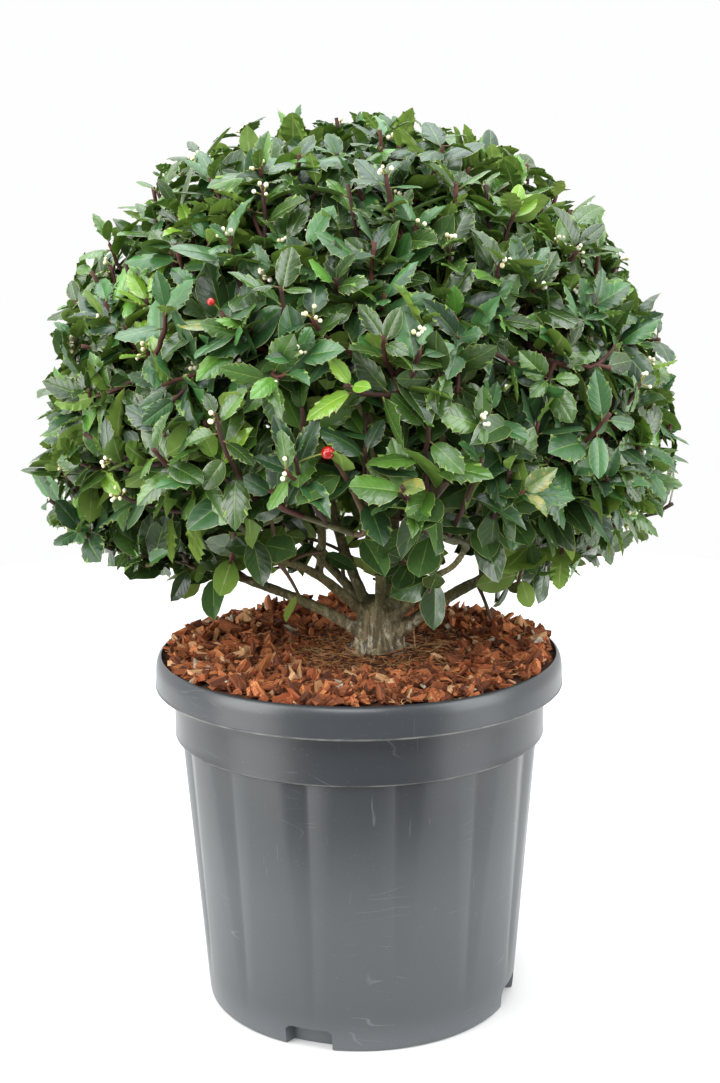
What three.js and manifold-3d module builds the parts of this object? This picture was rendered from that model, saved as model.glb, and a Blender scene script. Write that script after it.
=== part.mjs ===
// A clipped-ball holly shrub standing in a round nursery pot.
//
// Millimetres, +Z up. The origin is the middle of the pot's flat underside. -Y is the front.
// An azimuth turns from +X towards +Y. A polar angle opens from straight up, about the crown's centre.

import * as THREE from "three";
import { mergeVertices } from "three/addons/utils/BufferGeometryUtils.js";
import Module from "manifold-3d";

const wasm = await Module();
wasm.setup();

// ---------------------------------------------------------------- sizes

const CLEARANCE = 0.3; // between solids that meet
const MERGE_DISTANCE = 1e-3; // points closer than this are one point
const GRID = 0.01; // fused solids have their points on this grid
const FLATTEST_FACE = 0.012; // the least height of a face of a fused solid

// Pot: a tapering fluted body, a collar above it and a rolled rim.
const POT_HEIGHT = 280;
const RIM_RADIUS = 160;
const RIM_DEPTH = 24;
const RIM_WALL = 5;
const RIM_ROUNDING = 4;
const RIM_ROUNDING_STEPS = 3;
const RIM_BEVEL = 1; // of its inner edge
const COLLAR_RADIUS = 145.5;
const COLLAR_FOOT = 216; // height of the collar's lower edge
const COLLAR_CHAMFER = 5;
const BODY_TOP_RADIUS = 140.5;
const BODY_FOOT_RADIUS = 123.6;
const POT_WALL = 2.5;
const POT_FLOOR = 4;
const POT_FOOT_ROUNDING = 1.5;
const POT_SEGMENTS = 48;
const FLUTES = 16;
const FLUTE_DEPTH = 2.4; // at the collar
const FLUTE_FOOT = 20; // height where they fade out
const NOTCHES = 4;
const NOTCH_AZIMUTH = 251; // of the first one
const NOTCH_WIDTH = 34;
const NOTCH_HEIGHT = 16;
const NOTCH_DEPTH = 10;
const NOTCH_CORNER = 4;
const NOTCH_CORNER_STEPS = 3;
const NOTCH_OVERRUN = 1; // of the cut, under the pot
const BOSS_INSET = 1; // of the wall round a notch, from the pot's outside
const BOSS_LIMIT = 60; // height that it stays under

// Bed: the soil that fills the pot, with bark mulch on top.
const BED_HEIGHT = 276;
const BED_GAP = 1; // to the pot's wall
const BED_STEP_HEIGHT = 22; // below this the bed is narrower, clear of the notches
const BED_STEP_RISE = 2;
const BED_FOOT_RADIUS = 106;
const BED_SEGMENTS = 24;
const BED_RINGS = 4;
const BED_WAVES = [
  { height: 1.5, around: 3, length: 19 },
  { height: 1.5, around: 7, length: -11 },
];
const BED_EDGE_RISE = 3;
const BED_EDGE_FROM = 90; // distances from the axis
const BED_EDGE_TO = 150;
const BED_CALM_RADIUS = 42; // the bed is level and a little lower round the trunk's foot
const BED_CALM_DROP = 2;
const CHIPS = 20;
const CHIPS_FROM = 70; // distances from the axis
const CHIPS_TO = 137;
const CHIP_LENGTH = 19;
const CHIP_WIDTH = 11;
const CHIP_THICKNESS = 6;
const CHIP_SMALLEST = 0.8; // as a share of that length and width
const CHIP_LARGEST = 1.3;
const CHIP_TILT = 22; // degrees at most
const CHIP_RISE = 1; // of its middle over the bed

// Trunk: short and stout, from a flat cut just under the mulch to the fork.
const TRUNK_X = 15;
const TRUNK_FOOT = 268;
const TRUNK_TOP = 322;
const TRUNK_RADIUS = 18.5;
const TRUNK_FLARE = 6.5;
const TRUNK_FLARE_HEIGHT = 9;
const TRUNK_LEAN = 3; // to the right, over its height
const TRUNK_LOBES = 5;
const TRUNK_LOBE_DEPTH = 0.05; // as a share of its radius
const TRUNK_FOOT_LOBE_DEPTH = 0.1; // more, at its foot
const TRUNK_LOBE_TURN = 1; // radians
const TRUNK_SHOULDER = 0.7; // share of its height where it starts to round off
const TRUNK_CROWN_SHARE = 0.55; // its radius on top, as a share of the full one
const TRUNK_SIDES = 16;
const TRUNK_RINGS = 7;

// Limbs
const LIMB_SIDES = 6;
const LIMB_STEPS = 7;
const LIMB_ROOT_SHARE = 0.55; // how far out in the trunk a limb begins
const LIMB_PULL = 0.38; // how far its ends run straight, as a share of the way between them
const LIMB_TIP_SHARE = 0.5; // its radius at its tip, as a share of its radius at its root

// Crown: a ball, cut off underneath by a shallow cone.
const CROWN_CENTRE = new THREE.Vector3(0, 0, 445);
const CROWN_RADIUS = 252;
const UNDERSIDE_RADIUS = 129;
const UNDERSIDE_HEIGHT = 322; // of the cone, at that radius
const UNDERSIDE_SLOPE = 0.53;
const CROWN_LOWEST_POLAR = 128;
const MASS_GAP = 0.8; // between the spaces of two masses
const CORE_OUTER = 204; // from the crown's centre
const CORE_INNER = 146;
const CORE_ROUGHNESS = 7;
const CORE_MARGIN = 0.8; // between a core and the edges of its mass
const CORE_LOWEST_POLAR = 110;
const CORE_ACROSS = 5; // steps
const CORE_UPWARD = 4;
const TOP_CORE_SEGMENTS = 12;
const TOP_CORE_RINGS = 3;

// Twigs and leaves
const SHOOTS = 128; // in the whole crown
const SHOOT_EDGE = 2.5; // degrees that a shoot's end stays inside its mass
const SHOOTS_PER_TWIG = 3;
const SHOOT_DEPTH = 36; // from a shoot's end to the outside of the crown
const FORK_REACH = 176;
const HUB_REACH = 160;
const HUB_LOWEST_POLAR = 96;
const STEM_RADIUS = 3.4;
const STEM_STEPS = 3;
const STEM_BEND = 0.4; // where it bends, as a share of the way to its hub
const TWIG_RADIUS = 2.6;
const SHOOT_RADIUS = 2;
const SHOOT_TIP_RADIUS = 1.4;
const LEAVES_PER_SHOOT = 3;
const LEAF_LENGTH = 62;
const LEAF_WIDTH = 37;
const LEAF_WIDEST = 0.48; // where, as a share of its length
const LEAF_SMALLEST = 0.88; // as a share of that length and width
const LEAF_LARGEST = 1.08;
const LEAF_THICKNESS = 1.6;
const LEAF_FOLD = 0.16; // how far its edges rise, as a share of its width
const LEAF_INSET = 1; // of the last leaf's root, from the shoot's end
const LEAF_SPACING = 6; // along the shoot
const LEAF_LEAN = 30; // degrees between the last leaf and the shoot
const LEAF_LEAN_STEP = 11; // more for each leaf further back
const LEAF_LEAN_TRIES = [0, 4, 8, 12, 16, 20, 24, 28, 32, 36]; // more, until the leaf fits its space
const LEAF_TURN_TRIES = [0, 30, -30, 60, -60, 90, -90, 120, -120, 180]; // degrees round the shoot
const LEAF_FEW_FACES = 20; // added by a leaf that stands clear of the others
const LEAF_MOST_FACES = 44; // added by one that crosses others, or it is left out
const GOLDEN_ANGLE = 137.508;
const SEED = 11;

// The crown's masses, ring by ring: degrees of polar angle, and the azimuth of the first place.
const RINGS = [
  { name: "top", from: 0, to: 33, turn: 0, places: ["top"] },
  {
    name: "high",
    from: 33,
    to: 76,
    turn: 270,
    places: ["high_front", "high_right", "high_back_right", "high_back_left", "high_left"],
  },
  {
    name: "low",
    from: 76,
    to: CROWN_LOWEST_POLAR,
    turn: 4,
    places: [
      "low_right",
      "low_back_right",
      "low_back_left",
      "low_left",
      "low_front_left",
      "low_front_right",
    ],
  },
];

// One limb for each mass. It leaves the trunk on a side and at a height, heading along an azimuth and
// rising at an angle, and its tip is given by azimuth, distance from the pot's axis, height and rise.
// A limb with a parent leaves that limb instead, at a share of its length.
const LIMBS = [
  { place: "low_left", radius: 5.2, side: 215, height: 288, heading: 205, rise: 42,
    tip: { azimuth: 184, outward: 128, height: 354, rise: 24 } },
  { place: "low_right", radius: 6, side: 325, height: 289, heading: 340, rise: 40,
    tip: { azimuth: 355, outward: 132, height: 352, rise: 20 } },
  { place: "low_front_left", radius: 4.8, side: 205, height: 306, heading: 218, rise: 42,
    tip: { azimuth: 237, outward: 122, height: 374, rise: 12 } },
  { place: "low_front_right", radius: 4.6, side: 308, height: 303, heading: 315, rise: 34,
    tip: { azimuth: 301, outward: 124, height: 366, rise: 24 } },
  { place: "low_back_left", radius: 4.8, side: 140, height: 303, heading: 125, rise: 40,
    tip: { azimuth: 120, outward: 126, height: 362, rise: 24 } },
  { place: "low_back_right", radius: 4.8, side: 50, height: 303, heading: 60, rise: 38,
    tip: { azimuth: 60, outward: 126, height: 362, rise: 24 } },
  { place: "high_front", radius: 4.6, side: 262, height: 306, heading: 285, rise: 70,
    tip: { azimuth: 270, outward: 98, height: 512, rise: 50 } },
  { place: "high_right", radius: 4.8, side: 350, height: 309, heading: 350, rise: 52,
    tip: { azimuth: 342, outward: 98, height: 512, rise: 50 } },
  { place: "high_back_right", radius: 4.8, side: 85, height: 310, heading: 60, rise: 62,
    tip: { azimuth: 54, outward: 98, height: 512, rise: 50 } },
  { place: "high_back_left", radius: 4.8, side: 165, height: 312, heading: 150, rise: 60,
    tip: { azimuth: 126, outward: 98, height: 512, rise: 50 } },
  { place: "high_left", radius: 3.8, parent: "low_front_left", share: 0.5, heading: 60, rise: 62,
    tip: { azimuth: 198, outward: 98, height: 512, rise: 55 } },
  { place: "top", radius: 8, side: 350, height: 306, heading: 90, rise: 88,
    tip: { azimuth: 60, outward: 8, height: 560, rise: 84 } },
];

// ---------------------------------------------------------------- materials

const PLASTIC = new THREE.MeshStandardMaterial({ color: "#3b3e41", roughness: 0.45, flatShading: true });
const MULCH = new THREE.MeshStandardMaterial({ color: "#8d4a2a", roughness: 0.95, flatShading: true });
const TRUNK_BARK = new THREE.MeshStandardMaterial({ color: "#77735a", roughness: 0.9, flatShading: true });
const LIMB_BARK = new THREE.MeshStandardMaterial({ color: "#5c6038", roughness: 0.85, flatShading: true });
const LEAF_GREENS = {
  top: new THREE.MeshStandardMaterial({ color: "#3c6b3a", roughness: 0.4, flatShading: true }),
  high: new THREE.MeshStandardMaterial({ color: "#2f5a38", roughness: 0.4, flatShading: true }),
  low: new THREE.MeshStandardMaterial({ color: "#2b5036", roughness: 0.4, flatShading: true }),
};

// ---------------------------------------------------------------- helpers

const radians = THREE.MathUtils.degToRad;
const degrees = THREE.MathUtils.radToDeg;
const UP = new THREE.Vector3(0, 0, 1);

function seededRandom(seed) {
  let state = seed;
  return () => {
    state = (state * 1664525 + 1013904223) % 4294967296;
    return state / 4294967296;
  };
}

function between(least, most, random) {
  return least + (most - least) * random();
}

function direction(azimuth, rise) {
  const level = Math.cos(radians(rise));
  return new THREE.Vector3(
    level * Math.cos(radians(azimuth)),
    level * Math.sin(radians(azimuth)),
    Math.sin(radians(rise)),
  );
}

function crownPoint(azimuth, polar, reach) {
  return direction(azimuth, 90 - polar).multiplyScalar(reach).add(CROWN_CENTRE);
}

function solidOf(geometry) {
  const bare = geometry.clone();
  bare.deleteAttribute("normal");
  bare.deleteAttribute("uv");
  const merged = mergeVertices(bare, MERGE_DISTANCE);
  return new wasm.Manifold(
    new wasm.Mesh({
      numProp: 3,
      vertProperties: merged.attributes.position.array,
      triVerts: new Uint32Array(merged.index.array),
    }),
  );
}

function geometryOf(solid) {
  const mesh = solid.getMesh();
  const geometry = new THREE.BufferGeometry();
  geometry.setAttribute("position", new THREE.BufferAttribute(mesh.vertProperties, 3));
  geometry.setIndex(new THREE.BufferAttribute(mesh.triVerts, 1));
  return geometry;
}

function largestBody(solid) {
  return solid.decompose().reduce((a, b) => (b.volume() > a.volume() ? b : a));
}

// Whether no face of a geometry is a sliver, and each edge has just two faces.
function isSound(geometry) {
  const { position } = geometry.attributes;
  const index = geometry.index.array;
  const corners = [new THREE.Vector3(), new THREE.Vector3(), new THREE.Vector3()];
  const triangle = new THREE.Triangle(...corners);
  const facesAt = new Map();
  for (let face = 0; face < index.length; face += 3) {
    corners.forEach((corner, k) => corner.fromBufferAttribute(position, index[face + k]));
    const longest = Math.max(...corners.map((corner, k) => corner.distanceTo(corners[(k + 1) % 3])));
    if ((2 * triangle.getArea()) / longest < FLATTEST_FACE) return false;
    for (let k = 0; k < 3; k++) {
      const ends = [index[face + k], index[face + ((k + 1) % 3)]];
      const edge = Math.min(...ends) * position.count + Math.max(...ends);
      facesAt.set(edge, (facesAt.get(edge) ?? 0) + 1);
    }
  }
  return [...facesAt.values()].every((faces) => faces === 2);
}

// The solid with its points moved to a fine grid, or null where that leaves it unsound.
function onGrid(solid) {
  const geometry = geometryOf(solid);
  const { array } = geometry.attributes.position;
  for (let i = 0; i < array.length; i++) array[i] = Math.round(array[i] / GRID) * GRID;
  try {
    const snapped = largestBody(solidOf(geometry));
    return isSound(mergeVertices(geometryOf(snapped), MERGE_DISTANCE)) ? snapped : null;
  } catch {
    return null;
  }
}

// Joins a piece to a solid. A hollow that this seals is filled, and a scrap that hangs free is dropped.
// Where the joint would be unsound, the solid stays as it was.
function fuse(whole, piece) {
  return onGrid(largestBody(whole.add(piece))) ?? whole;
}

// A closed geometry through rings of points, each ring turning the same way round, with flat ends.
function skinRings(rings) {
  const sides = rings[0].length;
  const points = rings.flat();
  const faces = [];
  for (let ring = 0; ring + 1 < rings.length; ring++) {
    for (let side = 0; side < sides; side++) {
      const a = ring * sides + side;
      const b = ring * sides + ((side + 1) % sides);
      faces.push(a, b, b + sides, a, b + sides, a + sides);
    }
  }
  const last = (rings.length - 1) * sides;
  for (let side = 1; side + 1 < sides; side++) {
    faces.push(0, side + 1, side);
    faces.push(last, last + side, last + side + 1);
  }
  return new THREE.BufferGeometry().setFromPoints(points).setIndex(faces);
}

// A round tube along a curve, with its radius given by radiusAt(share of the length).
function taperedTube(curve, radiusAt, steps, sides) {
  const frames = curve.computeFrenetFrames(steps, false);
  const rings = [];
  for (let step = 0; step <= steps; step++) {
    const centre = curve.getPointAt(step / steps);
    const radius = radiusAt(step / steps);
    const ring = [];
    for (let side = 0; side < sides; side++) {
      const angle = (side / sides) * 2 * Math.PI;
      ring.push(
        centre
          .clone()
          .addScaledVector(frames.normals[step], radius * Math.cos(angle))
          .addScaledVector(frames.binormals[step], radius * Math.sin(angle)),
      );
    }
    rings.push(ring);
  }
  return skinRings(rings);
}

function named(name, geometry, material) {
  geometry.computeVertexNormals();
  const mesh = new THREE.Mesh(geometry, material);
  mesh.name = name;
  return mesh;
}

// ---------------------------------------------------------------- pot

function bodyRadius(height) {
  return BODY_FOOT_RADIUS + ((BODY_TOP_RADIUS - BODY_FOOT_RADIUS) * height) / COLLAR_FOOT;
}

// Turns a profile of (radius, height) pairs about the upright axis.
function turned(profile, segments) {
  const points = profile.map(([radius, height]) => new THREE.Vector2(radius, height));
  return new THREE.LatheGeometry(points, segments).rotateX(Math.PI / 2);
}

// Presses the flutes into the top of the body, from where they run out towards its foot.
function flute(geometry) {
  const position = geometry.attributes.position;
  for (let i = 0; i < position.count; i++) {
    const height = position.getZ(i);
    const radius = Math.hypot(position.getX(i), position.getY(i));
    if (height <= FLUTE_FOOT || height > COLLAR_FOOT || radius < BODY_TOP_RADIUS - POT_WALL) continue;
    const azimuth = Math.atan2(position.getY(i), position.getX(i));
    const depth = FLUTE_DEPTH * (0.5 - 0.5 * Math.cos(FLUTES * azimuth));
    position.setX(i, position.getX(i) * (1 - depth / radius));
    position.setY(i, position.getY(i) * (1 - depth / radius));
  }
  return geometry;
}

// An upright block with rounded top corners at the foot of the wall, at an azimuth.
function footBlock(azimuth, width, height, inner, outer) {
  const corner = NOTCH_CORNER;
  const shape = new THREE.Shape();
  shape.moveTo(-width / 2, -NOTCH_OVERRUN);
  shape.lineTo(width / 2, -NOTCH_OVERRUN);
  shape.lineTo(width / 2, height - corner);
  shape.absarc(width / 2 - corner, height - corner, corner, 0, Math.PI / 2, false);
  shape.absarc(-width / 2 + corner, height - corner, corner, Math.PI / 2, Math.PI, false);
  shape.closePath();
  const block = new THREE.ExtrudeGeometry(shape, {
    depth: outer - inner,
    bevelEnabled: false,
    curveSegments: NOTCH_CORNER_STEPS,
  });
  block.rotateX(Math.PI / 2); // the outline stands upright
  block.translate(0, -inner, 0);
  return block.rotateZ(radians(azimuth + 90));
}

function potSolid() {
  const rimFoot = POT_HEIGHT - RIM_DEPTH;
  const outside = [
    [0, 0],
    [BODY_FOOT_RADIUS - POT_FOOT_ROUNDING, 0],
    [bodyRadius(POT_FOOT_ROUNDING), POT_FOOT_ROUNDING],
    [bodyRadius(FLUTE_FOOT), FLUTE_FOOT],
    [BODY_TOP_RADIUS, COLLAR_FOOT],
    [COLLAR_RADIUS, COLLAR_FOOT + COLLAR_CHAMFER],
    [COLLAR_RADIUS, rimFoot],
    [RIM_RADIUS, rimFoot],
  ];
  for (let step = 0; step <= RIM_ROUNDING_STEPS; step++) {
    const angle = ((step / RIM_ROUNDING_STEPS) * Math.PI) / 2;
    outside.push([
      RIM_RADIUS - RIM_ROUNDING * (1 - Math.cos(angle)),
      POT_HEIGHT - RIM_ROUNDING * (1 - Math.sin(angle)),
    ]);
  }
  const inside = [
    [RIM_RADIUS - RIM_WALL, POT_HEIGHT - RIM_BEVEL],
    [RIM_RADIUS - RIM_WALL, rimFoot + POT_WALL],
    [COLLAR_RADIUS - POT_WALL, rimFoot + POT_WALL],
    [COLLAR_RADIUS - POT_WALL, COLLAR_FOOT + COLLAR_CHAMFER],
    [BODY_TOP_RADIUS - POT_WALL - FLUTE_DEPTH, COLLAR_FOOT],
    [bodyRadius(POT_FLOOR) - POT_WALL, POT_FLOOR],
    [0, POT_FLOOR],
  ];
  let pot = solidOf(flute(turned([...outside, ...inside], POT_SEGMENTS)));
  const blankProfile = [
    [0, 0],
    [bodyRadius(0) - BOSS_INSET, 0],
    [bodyRadius(BOSS_LIMIT) - BOSS_INSET, BOSS_LIMIT],
    [0, BOSS_LIMIT],
  ];
  const blank = solidOf(turned(blankProfile, POT_SEGMENTS));
  const inner = BODY_FOOT_RADIUS - NOTCH_DEPTH;
  for (let notch = 0; notch < NOTCHES; notch++) {
    const azimuth = NOTCH_AZIMUTH + (360 / NOTCHES) * notch;
    const boss = footBlock(
      azimuth,
      NOTCH_WIDTH + 2 * POT_WALL,
      NOTCH_HEIGHT + POT_WALL,
      inner - POT_WALL,
      BODY_FOOT_RADIUS,
    );
    pot = pot.add(solidOf(boss).intersect(blank));
  }
  for (let notch = 0; notch < NOTCHES; notch++) {
    const azimuth = NOTCH_AZIMUTH + (360 / NOTCHES) * notch;
    const recess = footBlock(azimuth, NOTCH_WIDTH, NOTCH_HEIGHT, inner, RIM_RADIUS);
    pot = pot.subtract(solidOf(recess));
  }
  return pot;
}

// ---------------------------------------------------------------- bed

function bedSurface(radius, azimuth) {
  const calm = 1 - THREE.MathUtils.smoothstep(radius, BED_CALM_RADIUS, 2 * BED_CALM_RADIUS);
  const edge = THREE.MathUtils.smoothstep(radius, BED_EDGE_FROM, BED_EDGE_TO);
  const ripple = BED_WAVES.reduce(
    (sum, wave) => sum + wave.height * Math.sin(wave.around * azimuth + radius / wave.length),
    0,
  );
  return BED_HEIGHT - BED_CALM_DROP * calm + (1 - calm) * (BED_EDGE_RISE * edge + ripple);
}

function bedSolid(trunk, limbs) {
  const edge = RIM_RADIUS - RIM_WALL - BED_GAP;
  const narrow = COLLAR_RADIUS - POT_WALL - BED_GAP;
  const ledge = POT_HEIGHT - RIM_DEPTH + POT_WALL + CLEARANCE;
  const wallGap = POT_WALL + FLUTE_DEPTH + BED_GAP;
  const profile = [
    [0, POT_FLOOR + CLEARANCE],
    [BED_FOOT_RADIUS, POT_FLOOR + CLEARANCE],
    [BED_FOOT_RADIUS, BED_STEP_HEIGHT],
    [bodyRadius(BED_STEP_HEIGHT) - wallGap, BED_STEP_HEIGHT + BED_STEP_RISE],
    [BODY_TOP_RADIUS - wallGap, COLLAR_FOOT],
    [narrow, COLLAR_FOOT + COLLAR_CHAMFER + wallGap],
    [narrow, ledge],
    [edge, ledge],
  ];
  for (let ring = 0; ring <= BED_RINGS; ring++) {
    profile.push([edge * (1 - ring / BED_RINGS), BED_HEIGHT]);
  }
  const geometry = turned(profile, BED_SEGMENTS);
  const position = geometry.attributes.position;
  for (let i = 0; i < position.count; i++) {
    if (position.getZ(i) < BED_HEIGHT - 1) continue;
    const radius = Math.hypot(position.getX(i), position.getY(i));
    const azimuth = radius < 1 ? 0 : Math.atan2(position.getY(i), position.getX(i));
    position.setZ(i, bedSurface(radius, azimuth));
  }
  let bed = solidOf(geometry);

  const random = seededRandom(SEED);
  for (let chip = 0; chip < CHIPS; chip++) {
    const azimuth = radians(chip * GOLDEN_ANGLE);
    const radius = CHIPS_FROM + (CHIPS_TO - CHIPS_FROM) * Math.sqrt((chip + 0.5) / CHIPS);
    const size = between(CHIP_SMALLEST, CHIP_LARGEST, random);
    const piece = new THREE.BoxGeometry(CHIP_LENGTH * size, CHIP_WIDTH * size, CHIP_THICKNESS);
    piece.rotateX(radians(between(-CHIP_TILT, CHIP_TILT, random)));
    piece.rotateY(radians(between(-CHIP_TILT, CHIP_TILT, random)));
    piece.rotateZ(radians(between(0, 360, random)));
    piece.translate(
      radius * Math.cos(azimuth),
      radius * Math.sin(azimuth),
      bedSurface(radius, azimuth) + CHIP_RISE,
    );
    bed = fuse(bed, solidOf(piece));
  }
  for (const wood of [trunk, ...limbs]) bed = bed.subtract(wood.grown);
  return largestBody(bed);
}

// ---------------------------------------------------------------- trunk and limbs

function trunkCentre(height) {
  const share = (height - TRUNK_FOOT) / (TRUNK_TOP - TRUNK_FOOT);
  return new THREE.Vector3(TRUNK_X + TRUNK_LEAN * share, 0, height);
}

// The trunk with all its faces moved out by a distance.
function trunkSolid(outset) {
  const rings = [];
  for (let ring = 0; ring <= TRUNK_RINGS; ring++) {
    const share = ring / TRUNK_RINGS;
    const height = TRUNK_FOOT - outset + (TRUNK_TOP - TRUNK_FOOT + 2 * outset) * share;
    const flare = Math.exp(-(height - TRUNK_FOOT) / TRUNK_FLARE_HEIGHT);
    const shoulder = Math.max(0, (share - TRUNK_SHOULDER) / (1 - TRUNK_SHOULDER));
    const taper = TRUNK_CROWN_SHARE + (1 - TRUNK_CROWN_SHARE) * Math.sqrt(1 - shoulder ** 2);
    const lobeDepth = TRUNK_LOBE_DEPTH + TRUNK_FOOT_LOBE_DEPTH * flare;
    const points = [];
    for (let side = 0; side < TRUNK_SIDES; side++) {
      const angle = (side / TRUNK_SIDES) * 2 * Math.PI;
      const lobe = 1 + lobeDepth * Math.cos(TRUNK_LOBES * angle + TRUNK_LOBE_TURN);
      const radius = (TRUNK_RADIUS + TRUNK_FLARE * flare) * taper * lobe + outset;
      points.push(
        trunkCentre(height).add(new THREE.Vector3(radius * Math.cos(angle), radius * Math.sin(angle), 0)),
      );
    }
    rings.push(points);
  }
  return solidOf(skinRings(rings));
}

function limbCurve(limb, curves) {
  const start = limb.parent
    ? curves[limb.parent].getPointAt(limb.share)
    : trunkCentre(limb.height).addScaledVector(direction(limb.side, 0), LIMB_ROOT_SHARE * TRUNK_RADIUS);
  const tip = direction(limb.tip.azimuth, 0).multiplyScalar(limb.tip.outward).setZ(limb.tip.height);
  const pull = LIMB_PULL * start.distanceTo(tip);
  return new THREE.CubicBezierCurve3(
    start,
    start.clone().addScaledVector(direction(limb.heading, limb.rise), pull),
    tip.clone().addScaledVector(direction(limb.tip.azimuth, limb.tip.rise), -pull),
    tip,
  );
}

function limbTube(limb, curve, outset) {
  const radiusAt = (share) => limb.radius * (1 - (1 - LIMB_TIP_SHARE) * share) + outset;
  return solidOf(taperedTube(curve, radiusAt, LIMB_STEPS, LIMB_SIDES));
}

// Each limb is cut clear of the trunk and of the limbs before it.
function growLimbs(trunk) {
  const curves = {};
  const grown = [];
  for (const limb of LIMBS) {
    const curve = limbCurve(limb, curves);
    curves[limb.place] = curve;
    let solid = limbTube(limb, curve, 0).subtract(trunk.grown);
    for (const other of grown) solid = solid.subtract(other.grown);
    grown.push({ ...limb, curve, solid: largestBody(solid), grown: limbTube(limb, curve, CLEARANCE) });
  }
  return grown;
}

// ---------------------------------------------------------------- foliage

function listMasses() {
  return RINGS.flatMap((ring) =>
    ring.places.map((place, index) => ({
      place,
      ring,
      azimuth: ring.turn + (360 / ring.places.length) * index,
      half: 180 / ring.places.length,
      polar: (ring.from + ring.to) / 2,
    })),
  );
}

// Degrees from a mass's middle azimuth, between -180 and 180.
function turnFrom(mass, azimuth) {
  return ((((azimuth - mass.azimuth + 180) % 360) + 360) % 360) - 180;
}

function polarOf(point) {
  return degrees(point.clone().sub(CROWN_CENTRE).angleTo(UP));
}

function azimuthOf(point) {
  return degrees(Math.atan2(point.y, point.x));
}

// Whether a point is inside the crown's outline and inside the mass's own space.
function holds(mass, point) {
  const outward = Math.hypot(point.x, point.y);
  const reach = point.distanceTo(CROWN_CENTRE);
  const lowest = UNDERSIDE_HEIGHT + UNDERSIDE_SLOPE * (outward - UNDERSIDE_RADIUS);
  if (reach > CROWN_RADIUS || point.z < lowest) return false;
  const polar = polarOf(point);
  const above = reach * Math.sin(radians(Math.min(90, polar - mass.ring.from)));
  const below = reach * Math.sin(radians(Math.min(90, mass.ring.to - polar)));
  const bottomRing = mass.ring.to === CROWN_LOWEST_POLAR;
  if (mass.ring.from > 0 && above < MASS_GAP / 2) return false;
  if (!bottomRing && below < MASS_GAP / 2) return false;
  if (mass.half === 180) return true;
  const aside = mass.half - Math.abs(turnFrom(mass, azimuthOf(point)));
  return outward * Math.sin(radians(Math.min(90, aside))) >= MASS_GAP / 2;
}

// How far the crown reaches from its centre at a polar angle.
function crownReach(polar) {
  const side = Math.sin(radians(polar));
  const drop = Math.cos(radians(polar));
  const level = UNDERSIDE_HEIGHT - UNDERSIDE_SLOPE * UNDERSIDE_RADIUS;
  const fall = UNDERSIDE_SLOPE * side - drop;
  return fall > 0 ? Math.min(CROWN_RADIUS, (CROWN_CENTRE.z - level) / fall) : CROWN_RADIUS;
}

// Where the shoots of a mass end: its share of points spread evenly over the crown.
function shootEnds(mass) {
  const ends = [];
  const lowest = Math.cos(radians(CROWN_LOWEST_POLAR));
  for (let shoot = 0; shoot < SHOOTS; shoot++) {
    const azimuth = shoot * GOLDEN_ANGLE;
    const polar = degrees(Math.acos(1 - ((shoot + 0.5) / SHOOTS) * (1 - lowest)));
    const turn = turnFrom(mass, azimuth);
    if (polar < mass.ring.from || polar >= mass.ring.to) continue;
    if (Math.abs(turn) > mass.half) continue;
    const top = mass.ring.from === 0 ? 0 : mass.ring.from + SHOOT_EDGE;
    const heldPolar = THREE.MathUtils.clamp(polar, top, mass.ring.to - SHOOT_EDGE);
    const edge = SHOOT_EDGE / Math.sin(radians(Math.max(heldPolar, SHOOT_EDGE)));
    const room = mass.half === 180 ? 180 : mass.half - edge;
    const heldTurn = THREE.MathUtils.clamp(turn, -room, room);
    ends.push({ turn: heldTurn, azimuth: mass.azimuth + heldTurn, polar: heldPolar });
  }
  return ends.sort((a, b) => a.turn - b.turn);
}

// How far a point of a core is from the crown's centre, where a smooth core would reach so far.
function lumpyReach(reach, random) {
  return reach + between(-CORE_ROUGHNESS, CORE_ROUGHNESS, random);
}

// The core of the top mass: a dome.
function topCore(mass, random) {
  const rim = mass.ring.to - degrees(CORE_MARGIN / CORE_OUTER);
  const profile = [];
  const addPoint = (ring, smooth) => {
    const polar = radians((rim * ring) / TOP_CORE_RINGS);
    const reach = lumpyReach(smooth, random);
    profile.push([reach * Math.sin(polar), reach * Math.cos(polar)]);
  };
  for (let ring = 0; ring <= TOP_CORE_RINGS; ring++) addPoint(ring, CORE_INNER);
  for (let ring = TOP_CORE_RINGS; ring >= 0; ring--) addPoint(ring, CORE_OUTER);
  return solidOf(turned(profile, TOP_CORE_SEGMENTS).translate(0, 0, CROWN_CENTRE.z));
}

// The core of any other mass: a lumpy block of the crown's shell.
function sideCore(mass, random) {
  const margin = degrees(CORE_MARGIN / CORE_INNER);
  const from = mass.ring.from + margin;
  const to = Math.min(mass.ring.to - margin, CORE_LOWEST_POLAR);
  const rings = [];
  for (let step = 0; step <= CORE_ACROSS; step++) {
    const share = -1 + (2 * step) / CORE_ACROSS;
    const ring = [];
    const addPoint = (rank, smooth) => {
      const polar = from + ((to - from) * rank) / CORE_UPWARD;
      const half = mass.half - margin / Math.sin(radians(polar));
      ring.push(crownPoint(mass.azimuth + half * share, polar, lumpyReach(smooth, random)));
    };
    for (let rank = 0; rank <= CORE_UPWARD; rank++) addPoint(rank, CORE_OUTER);
    for (let rank = CORE_UPWARD; rank >= 0; rank--) addPoint(rank, CORE_INNER);
    rings.push(ring);
  }
  return solidOf(skinRings(rings));
}

// The stem with the mass's core. The core is drawn again for as long as the joint would be unsound.
function stemWithCore(stem, mass, random) {
  const coreOf = mass.ring.from === 0 ? topCore : sideCore;
  let joined = stem;
  while (joined === stem) joined = fuse(stem, coreOf(mass, random));
  return joined;
}

function twigSolid(curve, steps, radius, tipRadius) {
  return solidOf(taperedTube(curve, (share) => radius + (tipRadius - radius) * share, steps, 3));
}

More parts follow.
